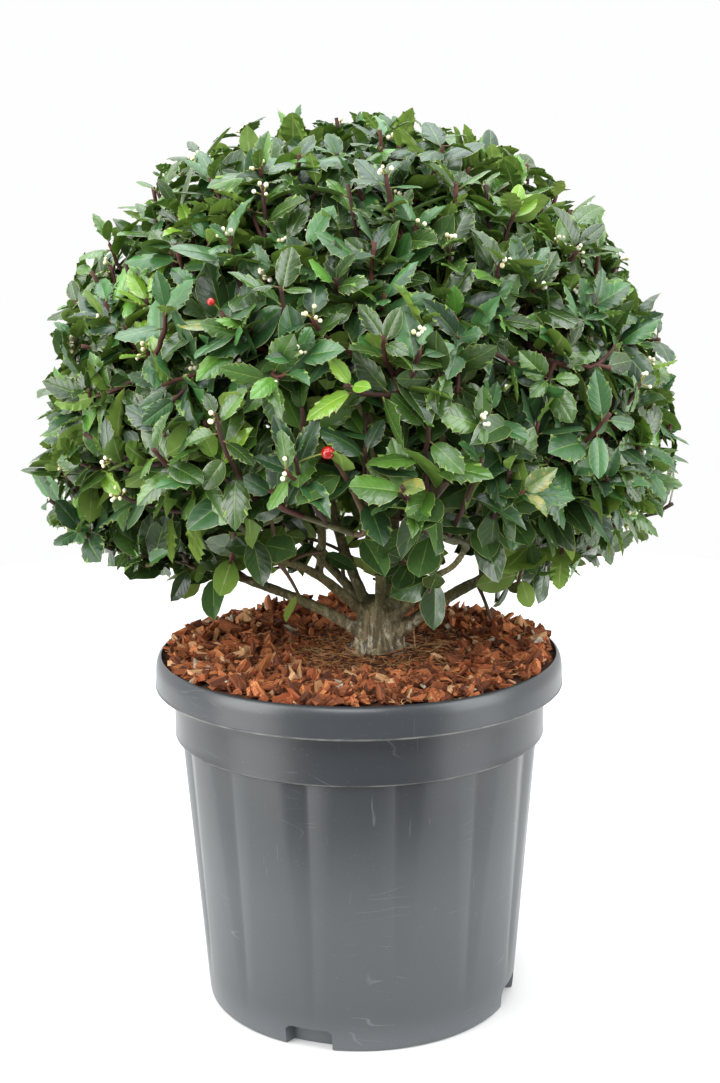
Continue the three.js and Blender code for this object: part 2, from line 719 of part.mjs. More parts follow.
// A leaf of eight faces, folded along its midrib, from its root along an axis, its face towards a side.
function leafPoints(root, axis, face, size) {
  const across = new THREE.Vector3().crossVectors(face, axis).normalize();
  const facing = new THREE.Vector3().crossVectors(axis, across).normalize();
  const middle = root.clone().addScaledVector(axis, LEAF_WIDEST * LEAF_LENGTH * size);
  const halfWidth = (LEAF_WIDTH * size) / 2;
  const lift = LEAF_FOLD * LEAF_WIDTH * size;
  return {
    root,
    tip: root.clone().addScaledVector(axis, LEAF_LENGTH * size),
    left: middle.clone().addScaledVector(across, halfWidth).addScaledVector(facing, lift),
    right: middle.clone().addScaledVector(across, -halfWidth).addScaledVector(facing, lift),
    over: middle.clone().addScaledVector(facing, LEAF_THICKNESS / 2),
    under: middle.clone().addScaledVector(facing, -LEAF_THICKNESS / 2),
  };
}

function leafSolid({ root, tip, left, right, over, under }) {
  const faces = [0, 3, 4, 3, 1, 4, 1, 2, 4, 2, 0, 4, 3, 0, 5, 1, 3, 5, 2, 1, 5, 0, 2, 5];
  const geometry = new THREE.BufferGeometry().setFromPoints([root, tip, left, right, over, under]);
  return solidOf(geometry.setIndex(faces));
}

// Adds a leaf to a shoot, counted back from the shoot's end. It leans over until it fits the mass's space,
// and is turned round the shoot until it stands as clear as it can of the leaves that are there already.
function addLeaf(whole, mass, shoot, rank, spin, size, wood) {
  const along = shoot.to.clone().sub(shoot.from).normalize();
  const aside = new THREE.Vector3().crossVectors(along, UP).normalize();
  const root = shoot.to.clone().addScaledVector(along, -LEAF_INSET - rank * LEAF_SPACING);
  const pointsAt = (turn, more) => {
    const around = aside.clone().applyAxisAngle(along, radians(spin + rank * GOLDEN_ANGLE + turn));
    const lean = radians(LEAF_LEAN + LEAF_LEAN_STEP * rank + more);
    const axis = along.clone().multiplyScalar(Math.cos(lean)).addScaledVector(around, Math.sin(lean));
    return leafPoints(root, axis, along, size);
  };
  const fits = ({ tip, left, right }) => [tip, left, right].every((point) => holds(mass, point));

  let best = whole;
  let fewest = LEAF_MOST_FACES + 1;
  for (const turn of LEAF_TURN_TRIES) {
    const more = LEAF_LEAN_TRIES.find((tried) => fits(pointsAt(turn, tried)));
    if (more === undefined) continue;
    const leaf = leafSolid(pointsAt(turn, more));
    if (!leaf.intersect(wood).isEmpty()) continue;
    const joined = fuse(whole, leaf);
    const added = joined.numTri() - whole.numTri();
    if (added > 0 && added < fewest) {
      best = joined;
      fewest = added;
    }
    if (fewest <= LEAF_FEW_FACES) break;
  }
  return best;
}

function growMass(mass, index, limbs, wood) {
  const random = seededRandom(SEED + index);
  const limb = limbs.find((candidate) => candidate.place === mass.place);
  const tangent = limb.curve.getTangentAt(1);
  const start = limb.curve.getPointAt(1).addScaledVector(tangent, CLEARANCE);
  const hub = crownPoint(mass.azimuth, Math.min(mass.polar, HUB_LOWEST_POLAR), HUB_REACH);
  const bend = start.clone().addScaledVector(tangent, STEM_BEND * start.distanceTo(hub));
  const stem = new THREE.QuadraticBezierCurve3(start, bend, hub);
  let whole = stemWithCore(twigSolid(stem, STEM_STEPS, STEM_RADIUS, STEM_RADIUS), mass, random);
  const ends = shootEnds(mass);
  for (let first = 0; first < ends.length; first += SHOOTS_PER_TWIG) {
    const group = ends.slice(first, first + SHOOTS_PER_TWIG);
    const middle = new THREE.Vector3();
    for (const end of group) middle.add(crownPoint(end.azimuth, end.polar, 1).sub(CROWN_CENTRE));
    const fork = middle.normalize().multiplyScalar(FORK_REACH).add(CROWN_CENTRE);
    const twig = twigSolid(new THREE.LineCurve3(hub, fork), 1, TWIG_RADIUS, TWIG_RADIUS);
    whole = fuse(whole, twig);
    for (const end of group) {
      const to = crownPoint(end.azimuth, end.polar, crownReach(end.polar) - SHOOT_DEPTH);
      const shoot = twigSolid(new THREE.LineCurve3(fork, to), 1, SHOOT_RADIUS, SHOOT_TIP_RADIUS);
      if (!shoot.intersect(wood).isEmpty()) continue;
      whole = fuse(whole, shoot);
      const spin = between(0, 360, random);
      for (let rank = 0; rank < LEAVES_PER_SHOOT; rank++) {
        const size = between(LEAF_SMALLEST, LEAF_LARGEST, random);
        whole = addLeaf(whole, mass, { from: fork, to }, rank, spin, size, wood);
      }
    }
  }
  return whole;
}

// ---------------------------------------------------------------- assembly

const trunk = { solid: trunkSolid(0), grown: trunkSolid(CLEARANCE) };
const limbs = growLimbs(trunk);
const wood = limbs.reduce((joined, limb) => joined.add(limb.grown), trunk.grown);

const shrub = new THREE.Group();
shrub.add(named("pot", geometryOf(potSolid()), PLASTIC));
shrub.add(named("mulch", geometryOf(bedSolid(trunk, limbs)), MULCH));
shrub.add(named("trunk", geometryOf(trunk.solid), TRUNK_BARK));
for (const limb of limbs) {
  shrub.add(named("bough_" + limb.place, geometryOf(limb.solid), LIMB_BARK));
}
listMasses().forEach((mass, index) => {
  const geometry = geometryOf(growMass(mass, index, limbs, wood));
  shrub.add(named("foliage_" + mass.place, geometry, LEAF_GREENS[mass.ring.name]));
});

export default shrub;
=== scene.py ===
"""The looks of a clipped-ball holly shrub that stands in a round nursery pot.

Sizes are in millimetres until a mesh is made, and +Z is up. The origin is the middle of the pot's flat
underside, and -Y is the front. An azimuth turns from +X towards +Y, in degrees. A polar angle opens from
straight up, about the crown's centre.
"""

import math

import bmesh
import bpy
import numpy as np
from mathutils import Matrix, Quaternion, Vector, noise


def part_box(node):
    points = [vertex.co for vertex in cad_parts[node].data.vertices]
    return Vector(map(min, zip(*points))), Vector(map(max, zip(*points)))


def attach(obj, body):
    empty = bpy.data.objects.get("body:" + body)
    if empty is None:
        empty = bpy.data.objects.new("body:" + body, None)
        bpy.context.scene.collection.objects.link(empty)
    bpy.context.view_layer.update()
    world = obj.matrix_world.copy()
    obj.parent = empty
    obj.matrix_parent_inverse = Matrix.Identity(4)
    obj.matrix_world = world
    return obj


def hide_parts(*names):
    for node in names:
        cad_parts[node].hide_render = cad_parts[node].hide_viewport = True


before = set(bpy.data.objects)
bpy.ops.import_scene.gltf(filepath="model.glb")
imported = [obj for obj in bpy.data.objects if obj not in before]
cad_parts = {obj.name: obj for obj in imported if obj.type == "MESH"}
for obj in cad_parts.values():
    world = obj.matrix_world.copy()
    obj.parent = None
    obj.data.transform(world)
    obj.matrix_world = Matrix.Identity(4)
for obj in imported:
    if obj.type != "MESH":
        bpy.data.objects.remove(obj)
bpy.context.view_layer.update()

MM = 0.001
SEED = 11
GOLDEN_ANGLE = 137.508
UP = Vector((0, 0, 1))
UP_ROW = np.array([0.0, 0.0, 1.0])
ACROSS_ROW = np.array([1.0, 0.0, 0.0])

# Numbers of the random draws. Each mass, limb, sprig and shoot has its own, counted on from these.
MASS_DRAWS = 100
LEAFY_LIMB_DRAWS = 150
SPRIG_DRAWS = 1000
INNER_DRAWS = 3000
BUD_DRAWS = 5
TWIG_DRAWS = 6
ROOT_DRAWS = 7

# ---- sizes that the frame gives

POT_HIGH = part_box("pot")[1] / MM
POT_HEIGHT = POT_HIGH.z
RIM_RADIUS = POT_HIGH.x
TRUNK_LOW, TRUNK_HIGH = (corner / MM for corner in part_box("trunk"))
TRUNK_FOOT = TRUNK_LOW.z
TRUNK_TOP = TRUNK_HIGH.z

LIMB_NODES = [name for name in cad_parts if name.startswith("bough_")]
FOLIAGE_NODES = [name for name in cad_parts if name.startswith("foliage_")]

# ---- camera, light and picture

PICTURE_WIDTH = 720  # pixels
PICTURE_HEIGHT = 1083
FOCAL_LENGTH = 1650  # pixels
SENSOR = 36  # along the picture's height
CLIP = (0.05, 50)  # metres
CAMERA_PLACE = (1.7, -1258, 626)
CAMERA_PITCH = 11.7  # degrees down
CAMERA_ROLL = -0.5
FLOOR_RADIUS = 1.1  # metres
FLOOR_CORNERS = 96
FLOOR_FRONT = 0.43
FLOOR_DROP = 0.0003
BACKDROP = (0.985, 0.99, 0.987, 1)

# How bright the room is along an axis: from this place to that one it rises from the dimmest to the most.
ROOM_SHADES = [("Y", -0.55, 0.25, 0.95), ("Z", 0.15, 0.75, 0.65)]
ROOM_DIMMEST = 0.2

# Soft lights: place and size in metres, watts, and tint.
SOFTBOXES = {
    "ceiling": ((-0.2, 0.1, 2.2), (2.2, 1.8), 41, (0.88, 0.95, 1.0)),
    "front_top": ((-0.3, -2.3, 2.1), (1.6, 1.3), 36, (0.97, 0.99, 1.0)),
    "left_window": ((-1.9, -1.0, 1.0), (1.5, 2.0), 55, (0.98, 0.99, 0.98)),
    "right_window": ((1.9, -0.9, 1.0), (1.3, 2.0), 42, (0.95, 0.98, 1.0)),
    "left_low": ((-1.9, -1.0, -0.5), (1.5, 0.9), 12, (1.0, 0.99, 0.96)),
    "right_low": ((1.9, -0.9, -0.5), (1.3, 0.9), 8, (0.98, 0.99, 1.0)),
}
LIGHTS_AIM = Vector((0, 0, 0.38))

# Where the photograph shows single things, in pixels of its 720 x 1083 frame.
BERRIES_SEEN = [(328, 453, 4.3), (211, 302, 2.6)]  # with the radius in millimetres
YOUNG_SEEN = [(98, 520), (183, 540), (160, 293), (148, 322), (88, 265), (350, 393), (520, 222)]
YOUNG_SEEN += [(562, 190), (645, 347), (195, 222)]
WORN_SEEN = [(535, 565), (348, 560), (205, 335)]
SKY_SEEN = [(316, 515), (271, 530), (330, 538), (404, 516), (452, 500), (452, 563), (320, 568)]
SKY_SEEN += [(301, 583), (343, 593), (358, 586), (373, 593), (446, 586), (470, 580), (409, 596)]
TRUNK_SEEN = [(372, 618), (385, 634)]
THREAD_SEEN = (417, 652)  # the foot of the hanging thread
CHIPS_SEEN = [  # large chips: colour kind, pixel and length
    ("chips_grey", (526, 641), 20),
    ("chips_rust", (543, 656), 26),
    ("chips_tan", (452, 692), 22),
    ("chips_rust", (240, 690), 25),
    ("chips_brown", (330, 684), 24),
    ("chips_rust", (498, 682), 24),
    ("chips_tan", (215, 668), 20),
]

# ---- pot

RIM_DEPTH = 24
RIM_WALL = 5
RIM_FILLET = 2.5
RIM_SHOULDER = (4.4, 12)  # how far the rim's top rounds inwards and down
RIM_SHOULDER_INSET = 0.7
COLLAR_RADIUS = 145.5
COLLAR_FOOT = 216
COLLAR_CHAMFER = 5
BODY_TOP_RADIUS = 140.5
BODY_FOOT_RADIUS = 123.6
POT_WALL = 2.5
POT_FLOOR = 4
FLOOR_RING = 60  # radius of the ring of points in the pot's floor
FOOT_ROUNDING = 2
GROOVES = 13  # upright grooves in the wall, widest and deepest under the collar
GROOVE_AZIMUTH = 281.3
GROOVE_DEPTH = 3.4
GROOVE_HALF_WIDTH = (3.2, 8.6)  # degrees, at the foot and under the collar
GROOVE_CURVE = 1.35
GROOVE_FOOT = 20
GROOVE_FADE = 0.2  # share of its length over which a groove begins
POT_SEGMENTS = GROOVES * 32
POT_CREASE = 38  # degrees
NOTCHES = 4
NOTCH_AZIMUTH = 251
NOTCH_WIDTH = 34
NOTCH_HEIGHT = 16
NOTCH_DEPTH = 10
NOTCH_CORNER = 4

# Steps of the wall's outline, outwards and upwards from the corner where each begins.
COLLAR_EDGE = [(-1.2, 0.6), (0.3, 1.6), (0.3, 2.26), (0, 4)]
RIM_EDGE = [(-2, 0), (-0.3, 0.2), (0, 0.6), (0, 1.1), (-0.5, 1.6), (-0.5, 2.3), (-0.55, 5), (-0.65, 10)]
RIM_INSIDE_TOP = [(0, -0.4), (-0.6, -1.6), (-0.6, -6)]
RIM_INSIDE_FOOT = [(-0.6, 1), (-2, 0)]
OUTSIDE_LEVELS = (5, 9, 12, 14, 15, 15.8, 16.2, 17, 18.5, GROOVE_FOOT)  # rings about the notches
INSIDE_LEVELS = (26, 21, 19, 17, 12, POT_FLOOR)
BODY_RINGS = 14

# ---- bed

BED_HEIGHT = 276
BED_RADIUS = RIM_RADIUS - RIM_WALL - 0.6
BED_THICKNESS = 14
BED_RINGS = 60
BED_SEGMENTS = 240
BED_HUB = 0.01  # radius of the innermost ring, as a share of the bed's
BED_WAVES = [(1.5, 3, 19), (1.5, 7, -11)]  # height, waves around, length outwards
BED_EDGE = (90, 150)  # radii between which the bed rises to its edge
BED_EDGE_RISE = 3
BED_CALM_RADIUS = 42
BED_CALM_DROP = 2
SOIL_DROP = 2.5  # how far the soil lies under the chips' level
SOIL_LUMPS = (7, 2.2)  # breadth and height
WALL_GAP = 1.2  # between the pot's wall and what is strewn on the bed

CHIPS = 3300
CHIP_KINDS = [  # name, dark and light colour, share, number of its random draws
    ("chips_rust", "#8a4221", "#cb8350", 0.45, 3),
    ("chips_tan", "#a87247", "#ddb488", 0.09, 4),
    ("chips_brown", "#4c2614", "#99552f", 0.44, 5),
    ("chips_grey", "#9c8a74", "#d3c7b3", 0.02, 6),
]
CHIP_SIDES = 7
CHIP_CORNER_SHIFT = 0.35  # radians
CHIP_CORNER_REACH = (0.45, 1.0)
CHIP_BREADTH = (0.2, 0.5)  # of its length
CHIP_THICKNESS = (0.09, 0.26)  # of its length
CHIP_UNEVEN = (0.6, 1.4)
CHIP_BEND = 0.25
CHIP_UNDERSIDE = (0.72, 1.05)  # of its upper side
CHIP_GRAINS = 500  # each chip is cut from another place of the grain, this far apart at most
CHIP_TILT = 62  # degrees
CHIP_CREASE = 20
CHIP_MARGIN = 5
CHIP_FINE = (3.5, 6.5)  # lengths near the trunk
CHIP_COARSE = (30, 90)  # distances from the trunk between which the chips get coarser
CHIP_MORE = 3.0  # the least by which a coarse chip is longer
CHIP_MORE_SPREAD = (2.0, 4.6)  # shape and scale of a gamma distribution
CHIP_LONGEST = 29
CHIP_LIFT = (-1.5, 5.5)
CHIP_LIFT_NEAR = 0.4  # share of the lift that chips near the trunk have
CHIP_SEEN_LIFT = 5

FIBRES = 4600
FIBRE_KINDS = [  # name, dark and light colour, share, number of its random draws, lengths, radius
    ("fibres_rust", "#96562f", "#d4955e", 0.56, 21, (5, 20), 0.4),
    ("fibres_straw", "#a97d50", "#d6b384", 0.16, 22, (8, 28), 0.28),
    ("fibres_dark", "#44261a", "#704226", 0.28, 23, (5, 20), 0.45),
]
FIBRES_NEAR_TRUNK = 0.55  # share
NEAR_TRUNK = 75
FIBRE_MARGIN = 9
FIBRE_TILT = 16
FIBRE_BEND = 1.1
FIBRE_MIDDLE = 0.12  # how far its bend is set back, so that the fibre stays about its place
FIBRE_ARCH = 0.1
FIBRE_TAPER = np.array([0.5, 1, 1, 1, 0.5])
FIBRE_THICKNESS = (0.7, 1.3)
FIBRE_LIFT = (-0.5, 4.0)
FIBRE_HEAP = (30, 7)  # breadth and height of the heap round the trunk

THREAD_FOOT = 2  # above the bed
THREAD_TOP = (-5, 12, 48)  # beside and behind its foot, and above the bed
THREAD_BENDS = (Vector((5, -6, -10)), Vector((-5, 0, 14)))  # at its top and at its foot
THREAD_RADIUS = 0.5

# ---- trunk and limbs

TRUNK_X = 15
TRUNK_RADIUS = 18.5
TRUNK_FLARE = 6.5
TRUNK_FLARE_HEIGHT = 9
TRUNK_LEAN = 3
TRUNK_LOBES = 5
TRUNK_LOBE_DEPTH = 0.05
TRUNK_FOOT_LOBE_DEPTH = 0.1
TRUNK_LOBE_TURN = 1
TRUNK_SHOULDER = 0.7
TRUNK_CROWN_SHARE = 0.55
TRUNK_RINGS = 22
TRUNK_SIDES = 40
TRUNK_CLEARANCE = TRUNK_RADIUS + 0.6 * TRUNK_FLARE  # nothing is strewn nearer than this
ROOTS = 6  # short roots that spread from the trunk's foot into the bed
ROOT_AZIMUTH = 20
ROOT_STRAY = 14  # degrees
ROOT_RISE = 13  # above the trunk's foot
ROOT_START = 0.6  # outwards, as a share of the trunk's radius
ROOT_POINTS = 8
ROOT_SIDES = 12
ROOT_SINK = 3
ROOT_REACH = (30, 40)
ROOT_RADIUS = (8.5, 3)
LIMB_SIDES = 14
LIMB_POINTS = 22
LIMB_ROOT_SHARE = 0.55
LIMB_PULL = 0.38
LIMB_TIP_SHARE = 0.58
PARENT_POINTS = 21
BARK_VOXEL = 1.7
BARK_SMOOTHING = (0.5, 5)  # factor and rounds
BARK_LUMPS = (0.35, 9, 13)  # depth, breadth and height
BARK_GRAIN = (0.16, 1.6, 1.9)
BARK_FURROWS = (2.6, 9)  # breadth and height
FURROW_DEPTH = 0.15
OLD_FURROW_DEPTH = 0.5  # more at the foot
OLD_FURROWS_TOP = 285  # above this height the greater depth fades out
OLD_FURROWS_FADE = 60

# ---- crown

CROWN_CENTRE = Vector((0, 0, 445))
CROWN_RADIUS = 252
UNDERSIDE_RADIUS = 129
UNDERSIDE_HEIGHT = 322
UNDERSIDE_SLOPE = 0.53
CROWN_LOWEST_POLAR = 128
CLIPPED_TOP = (0.3, 0.75)  # upward parts of a direction between which the side turns into the clipped top

# Ranges of whole numbers, here and below, end before their last number.
SHOOTS = 128  # the main shoots, as in the solids
SHOOTS_PER_TWIG = 3
SHOOT_DEPTH = 36
SHOOT_POINTS = 9
SHOOT_RADIUS = 2
SHOOT_BEND = 0.35
SHOOT_STRAY = 2
SHOOT_BARE = 0.3  # a main shoot is left out where more leaves than this are missing
FORK_REACH = 176
HUB_REACH = 160
HUB_LOWEST_POLAR = 96
STEM_POINTS = 12
STEM_BEND = 0.4
TWIGS_FROM = 0.25  # share of the stem without twigs
TWIG_POINTS = 10
TWIG_RADIUS = 2.6
TWIG_SIDES = 7
TWIG_TAPER = 0.85
TWIG_BEND = 0.45
TWIG_STRAY = 3
TWIG_BARE_POINTS = 4  # no sprig grows from these first points of a twig

SPRIGS = 500  # the finer shoots that carry the leaves
SPRIG_POINTS = 10
SPRIG_SCATTER = (1.5, 1.3)  # degrees of azimuth and polar angle
SPRIG_DEPTH = (21, 44)  # from a sprig's end to the outside of the crown
SPRIG_LENGTH = (60, 88)
SPRIG_RADIUS = (2.0, 1.45)  # at its root and at its end
SPRIG_SIDES = 6
SPRIG_KNOBS = (0.88, 1.18)
SPRIG_LEAVES = (9, 14)
SPRIG_OUT = 0.6  # how much a sprig's end points outwards
SPRIG_RISE = 0.95  # and upwards
SPRIG_STRAY = 0.18
SPRIG_WOBBLE = 0.5
SPRIG_BEND = 0.5
SPRIG_CLIMB = (-0.2, 0.6)  # slopes between which the way to a sprig's end gives in to the way up
SPRIG_STRAIGHT = 1.4  # share of the straight way, before what the way up takes
CROWDING = 12  # how much further a sprig goes, in millimetres, rather than share its root
OVERLONG = 2  # the same for each millimetre beyond the greatest length
OPEN_GAP = 0.75  # no sprig ends where more leaves than this are missing
GAP_SHARE = 0.85  # share of the sprigs left out for each share of missing leaves
LONG_SPRIGS = 0.18  # share of the sprigs that stand out to the crown's outside
LONG_ON_TOP = 0.2  # more of them on the clipped top
LONG_DEPTH = (5, SPRIG_DEPTH[0])
STUB = (1, 6)  # bare end beyond a sprig's last leaf, on the sides and on the top

SPRIG_FORKS = 0.5  # share of the sprigs with a side shoot
FORK_AT = (4, 7)  # the sprig's point that it leaves from
FORK_WAY = (0.75, 0.6, 0.2)  # along the sprig, aside and upwards
FORK_LENGTH = (22, 36)
FORK_STEP = 4  # it is shortened by steps, to stay in the crown
FORK_STUB = 8  # but no further than this
FORK_LEAST = 12  # it is left out if it isn't longer
FORK_LIFT = 3
FORK_SAG = 1.5
FORK_BEND = 0.55
FORK_RADIUS = (SPRIG_RADIUS[1], SPRIG_RADIUS[1] * 0.8)
FORK_POINTS = 6
FORK_LEAVES = (4, 8)

LOW_SPRIGS = 6  # short ones along each limb of the lowest ring
LOW_SHARES = (0.62, 0.98)
LOW_LENGTH = (20, 45)
LOW_LEAVES = (3, 7)
LOW_RADIUS = (1.7, 1.2)
LOW_STRAY = 0.6
LOW_WAY = 0.5  # outwards and upwards
LOW_BEND = 0.5
LOW_LIFT = 4
LOW_POINTS = 7
LEAFY_LIMBS = ("low_back_left", "low_back_right", "high_back_left", "high_back_right", "high_right", "top")
LEAFY_SHARES = (0.2, 0.62)  # these limbs carry short sprigs here, nearer to the trunk, as well

TWIG_LOOKS = [  # of the twigs, of what is low, and of the outer sprigs: piece, material, dark and light
    ("twigs_olive", "twig_olive", "#3f3d24", "#696543"),
    ("twigs_brown", "twig_brown", "#35291c", "#5a432b"),
    ("twigs_purple", "twig_purple", "#28130f", "#542a20"),
]
BROWN_BELOW = 385  # sprigs that start lower than this have older, browner bark

# Where leaves are missing along the crown's underside: each pair is for the sides and the back, and for
# the front.
OPEN_SHARES = (0.45, 0.97)  # of the leaves
OPEN_FROM = (12, 32)  # up to this height above the underside
OPEN_TO = (58, 104)  # from this height none is missing
OPEN_FRONT = (0.35, 0.8)  # forward parts of a direction between which the side turns into the front

# Each ring: degrees of polar angle, the azimuth of its first place, and its places.
RINGS = [
    (0, 33, 0, ["top"]),
    (33, 76, 270, ["high_front", "high_right", "high_back_right", "high_back_left", "high_left"]),
    (
        76,
        CROWN_LOWEST_POLAR,
        4,
        ["low_right", "low_back_right", "low_back_left", "low_left", "low_front_left", "low_front_right"],
    ),
]

# Each limb: radius, side, height, heading, rise, and its tip's azimuth, outward distance, height, rise.
# A limb that leaves another one has a share of that one's length in place of the height.
LIMBS = {
    "low_left": (5.2, 215, 288, 205, 42, (184, 128, 354, 24)),
    "low_right": (6.0, 325, 289, 340, 40, (355, 132, 352, 20)),
    "low_front_left": (4.8, 205, 306, 218, 42, (237, 122, 374, 12)),
    "low_front_right": (4.6, 308, 303, 315, 34, (301, 124, 366, 24)),
    "low_back_left": (4.8, 140, 303, 125, 40, (120, 126, 362, 24)),
    "low_back_right": (4.8, 50, 303, 60, 38, (60, 126, 362, 24)),
    "high_front": (4.6, 262, 306, 285, 70, (270, 98, 512, 50)),
    "high_right": (4.8, 350, 309, 350, 52, (342, 98, 512, 50)),
    "high_back_right": (4.8, 85, 310, 60, 62, (54, 98, 512, 50)),
    "high_back_left": (4.8, 165, 312, 150, 60, (126, 98, 512, 50)),
    "high_left": (3.8, None, 0.5, 60, 62, (198, 98, 512, 55)),
    "top": (6.8, 350, 306, 90, 88, (60, 8, 560, 84)),
}
LIMB_PARENT = {"high_left": "low_front_left"}

# ---- leaves

LEAF_LENGTH = (25, 35, 44)  # least, most common and longest
LEAF_GROWTH = (0.66, 0.78, 0.9, 1.0)  # share of that size for the first leaves from a sprig's end
LEAF_BREADTH = (0.88, 1.12)
LEAF_SPACING = (5, 8.5)
FIRST_LEAF = (0.5, 5)  # from the sprig's end
CLOSE_LEAVES = 2  # the first leaves stand closer together
CLOSE_SPACING = 0.4
BARE_ROOT = 4  # of a sprig
LEAF_OUTLINE = (-14, 8)  # how far a sprig's leaves may pass the crown's outline, from sprig to sprig
TOP_OUTLINE = 2  # how much further they may pass it on the clipped top
LEAF_LEAN = 24  # degrees from its sprig, for the end leaf
LEAF_LEAN_MORE = 8  # more for each one below it
LEAF_LEAN_RANKS = 5  # as far as this one
LEAF_LEAN_SPREAD = 10
FRONT_LEAN = 30  # degrees more for a leaf that grows outwards from its sprig
LEAF_TRIES = ((0, 1), (5, 0.93), (10, 0.87), (18, 0.82), (28, 0.76), (40, 0.7), (52, 0.62))  # lean and size
LEAF_TURN_SPREAD = 14
LEAF_LIFT = 0.03
LEAF_STRAY = 0.05
LEAF_LOOK = 4  # a sprig's way at a leaf is taken this far before and after it
UPRIGHT = 0.95
FACE_ALONG = 0.9  # how much a leaf's face turns along its sprig
FACE_OUT = 0.32
FACE_UP = 0.25
FACE_STRAY = 0.28
OPEN_THINNING = 0.5  # share of the leaves left out for each share of missing leaves
FRONT_LEAF = 0.45  # a leaf that points outwards by more than this hides its sprig
BARE_FRONT = 0.4  # share of those leaves that are left out, as if they were clipped off
PETIOLE = 4.5
PETIOLE_RADII = (0.75, 0.55)
PETIOLE_LENGTH = PETIOLE + 1.5  # it runs on under the blade

INNER_LEAVES = 19  # on each main shoot, deep in the crown
INNER_DEPTH = 66  # a sprig's leaves that are deeper than this count as inner ones
INNER_LENGTH = (30, 42)
INNER_OUT = 0.6
INNER_FACE_STRAY = 0.4
INNER_CLEARANCE = 4  # from the crown's outline
INNER_THINNING = 1.3  # share left out for each share of missing leaves
INNER_LOW_THINNING = 0.6  # share left out low in the crown
INNER_LOW_HEIGHTS = (350, 410)  # where that share fades out

OTHER_YOUNG = 0.006  # share of the other sprigs with young leaves
YOUNG_RANKS = 3
WORN_RANKS = 2
BRIGHT_RANKS = 3
BRIGHT_SHARES = (0.07, 0.02)  # near a sprig's end, and below
GREEN_SPRIGS = 0.45  # share of the sprigs with only green leaves
GREEN_LEAVES = 0.2  # share of green leaves on the others, which have dark ones

BLUE_ROUGHNESS = 0.32
LEAF_LOOKS = {  # of each colour kind: material, three tints and what is special
    "dark_a": ("leaf_dark", ("#263a18", "#30481d", "#3d5824"), {}),
    "dark_b": ("leaf_dark_blue", ("#203824", "#29462a", "#345533"), {"roughness": BLUE_ROUGHNESS}),
    "green_a": ("leaf_green", ("#344f25", "#426526", "#527830"), {}),
    "green_b": ("leaf_green_blue", ("#2a4c2b", "#345d30", "#40733a"), {"roughness": BLUE_ROUGHNESS}),
    "bright": ("leaf_bright", ("#487a2c", "#578a33", "#6b983f"), {}),
    "young": ("leaf_young", ("#67912a", "#7da336", "#6f9a34"), {"rib": "#c5d27a", "edge": "#b98d5a"}),
    "worn": ("leaf_worn", ("#5d7440", "#6f7f45", "#4c6838"), {"blotch": "#8f8a45"}),
    "inner": ("leaf_inner", ("#2a3f20", "#364f29", "#436033"), {}),
}
# Underside tints: the underside's own paler green, brightened to yellow-green as painted light shining
# through backlit leaves.
LEAF_UNDER_WITH_PAINTED_GLOW = ("leaf_under", ("#55762f", "#84a144"))
PALE_UNDER = ("leaf_under_pale", ("#8fae52", "#a9bf62"))  # of the young leaves
LEAF_STALK = ("leaf_stalk", "#5a3a2a", "#7d8a45")
LEAF_EDGE = "#a3ab68"
LEAF_RIM = (0.955, 0.985)  # from its midrib to its edge, where the pale edge begins and is full
VEIN_SLANT = 0.28
VEIN_WAVES = 44.0  # radians along the blade

EDGE, RIB = 1, 2  # flags of the points whose edges are creased
LEAF_SWELL = 0.68  # how fast a blade widens from its base
LEAF_THICKNESS = 0.022  # of the blade's length, as are the sizes below
SPINE = 0.03
HALF_LINE = (0.52, 0.5, 0.008)  # the line between midrib and edge: place, mark and lift
FINE_STATIONS = (0.12, 0.32, 0.52, 0.72, 0.88)  # places along the midrib
COARSE_STATIONS = (0.3, 0.68)
SMOOTH_EDGE = (0.08, 0.95)  # first and last place along an edge without spines
SMOOTH_EDGE_POINTS = (8, 4)  # on a fine and on a coarse blade
# Points along an edge with spines: place where the width is taken, the point's own place, way outwards.
EDGE_START = [(0.06, 0.06, 0.0), (0.2, 0.2, 0.0)]
SPINE_TIP = (0, 0.02, SPINE)  # from the spine's place, as in the next line
TOOTH = [(-0.045, -0.045, -0.003), SPINE_TIP, (0.012, 0.018, 0.0)]
EDGE_END = [(0.945, 0.945, 0.0)]
TEETH_FROM = 0.32
TEETH_SPAN = 0.6
LEAF_SHAPES = [  # flat, folded and curled blades: spines, width, fold, roll, curl, wave and taper
    (4, 0.52, 0.4, 0.5, 0.14, 0.014, 0.9),
    (4, 0.55, 0.3, 0.8, 0.26, 0.022, 0.8),
    (3, 0.47, 0.7, 0.4, 0.32, 0.018, 0.95),
    (3, 0.6, 0.3, 1.0, 0.1, 0.014, 0.7),
    (0, 0.57, 0.36, 0.8, 0.18, 0.0, 0.72),
    (4, 0.54, 0.16, 1.2, 0.42, 0.03, 0.88),
]
LEAF_SHAPE_SHARES = [0.22, 0.24, 0.16, 0.12, 0.14, 0.12]

# Lines of sight that stay open: no leaf comes nearer than this to the line from the camera.
SKY_VIEW = 7  # to a gap through which the photograph shows the background
TRUNK_VIEW = 14
BERRY_VIEW = 9
SPRIG_VIEW = 8  # to a sprig whose young or worn leaves the photograph shows
SPRIG_VIEW_END = 14  # this line ends so far before the sprig's own end
SEEN_DEPTH = 22  # how far under the crown's outline those sprigs end
LEAF_CHECKS = (0.0, 0.25, 0.5, 0.75, 1.0)  # places along a leaf where this is tested

# ---- buds and berries

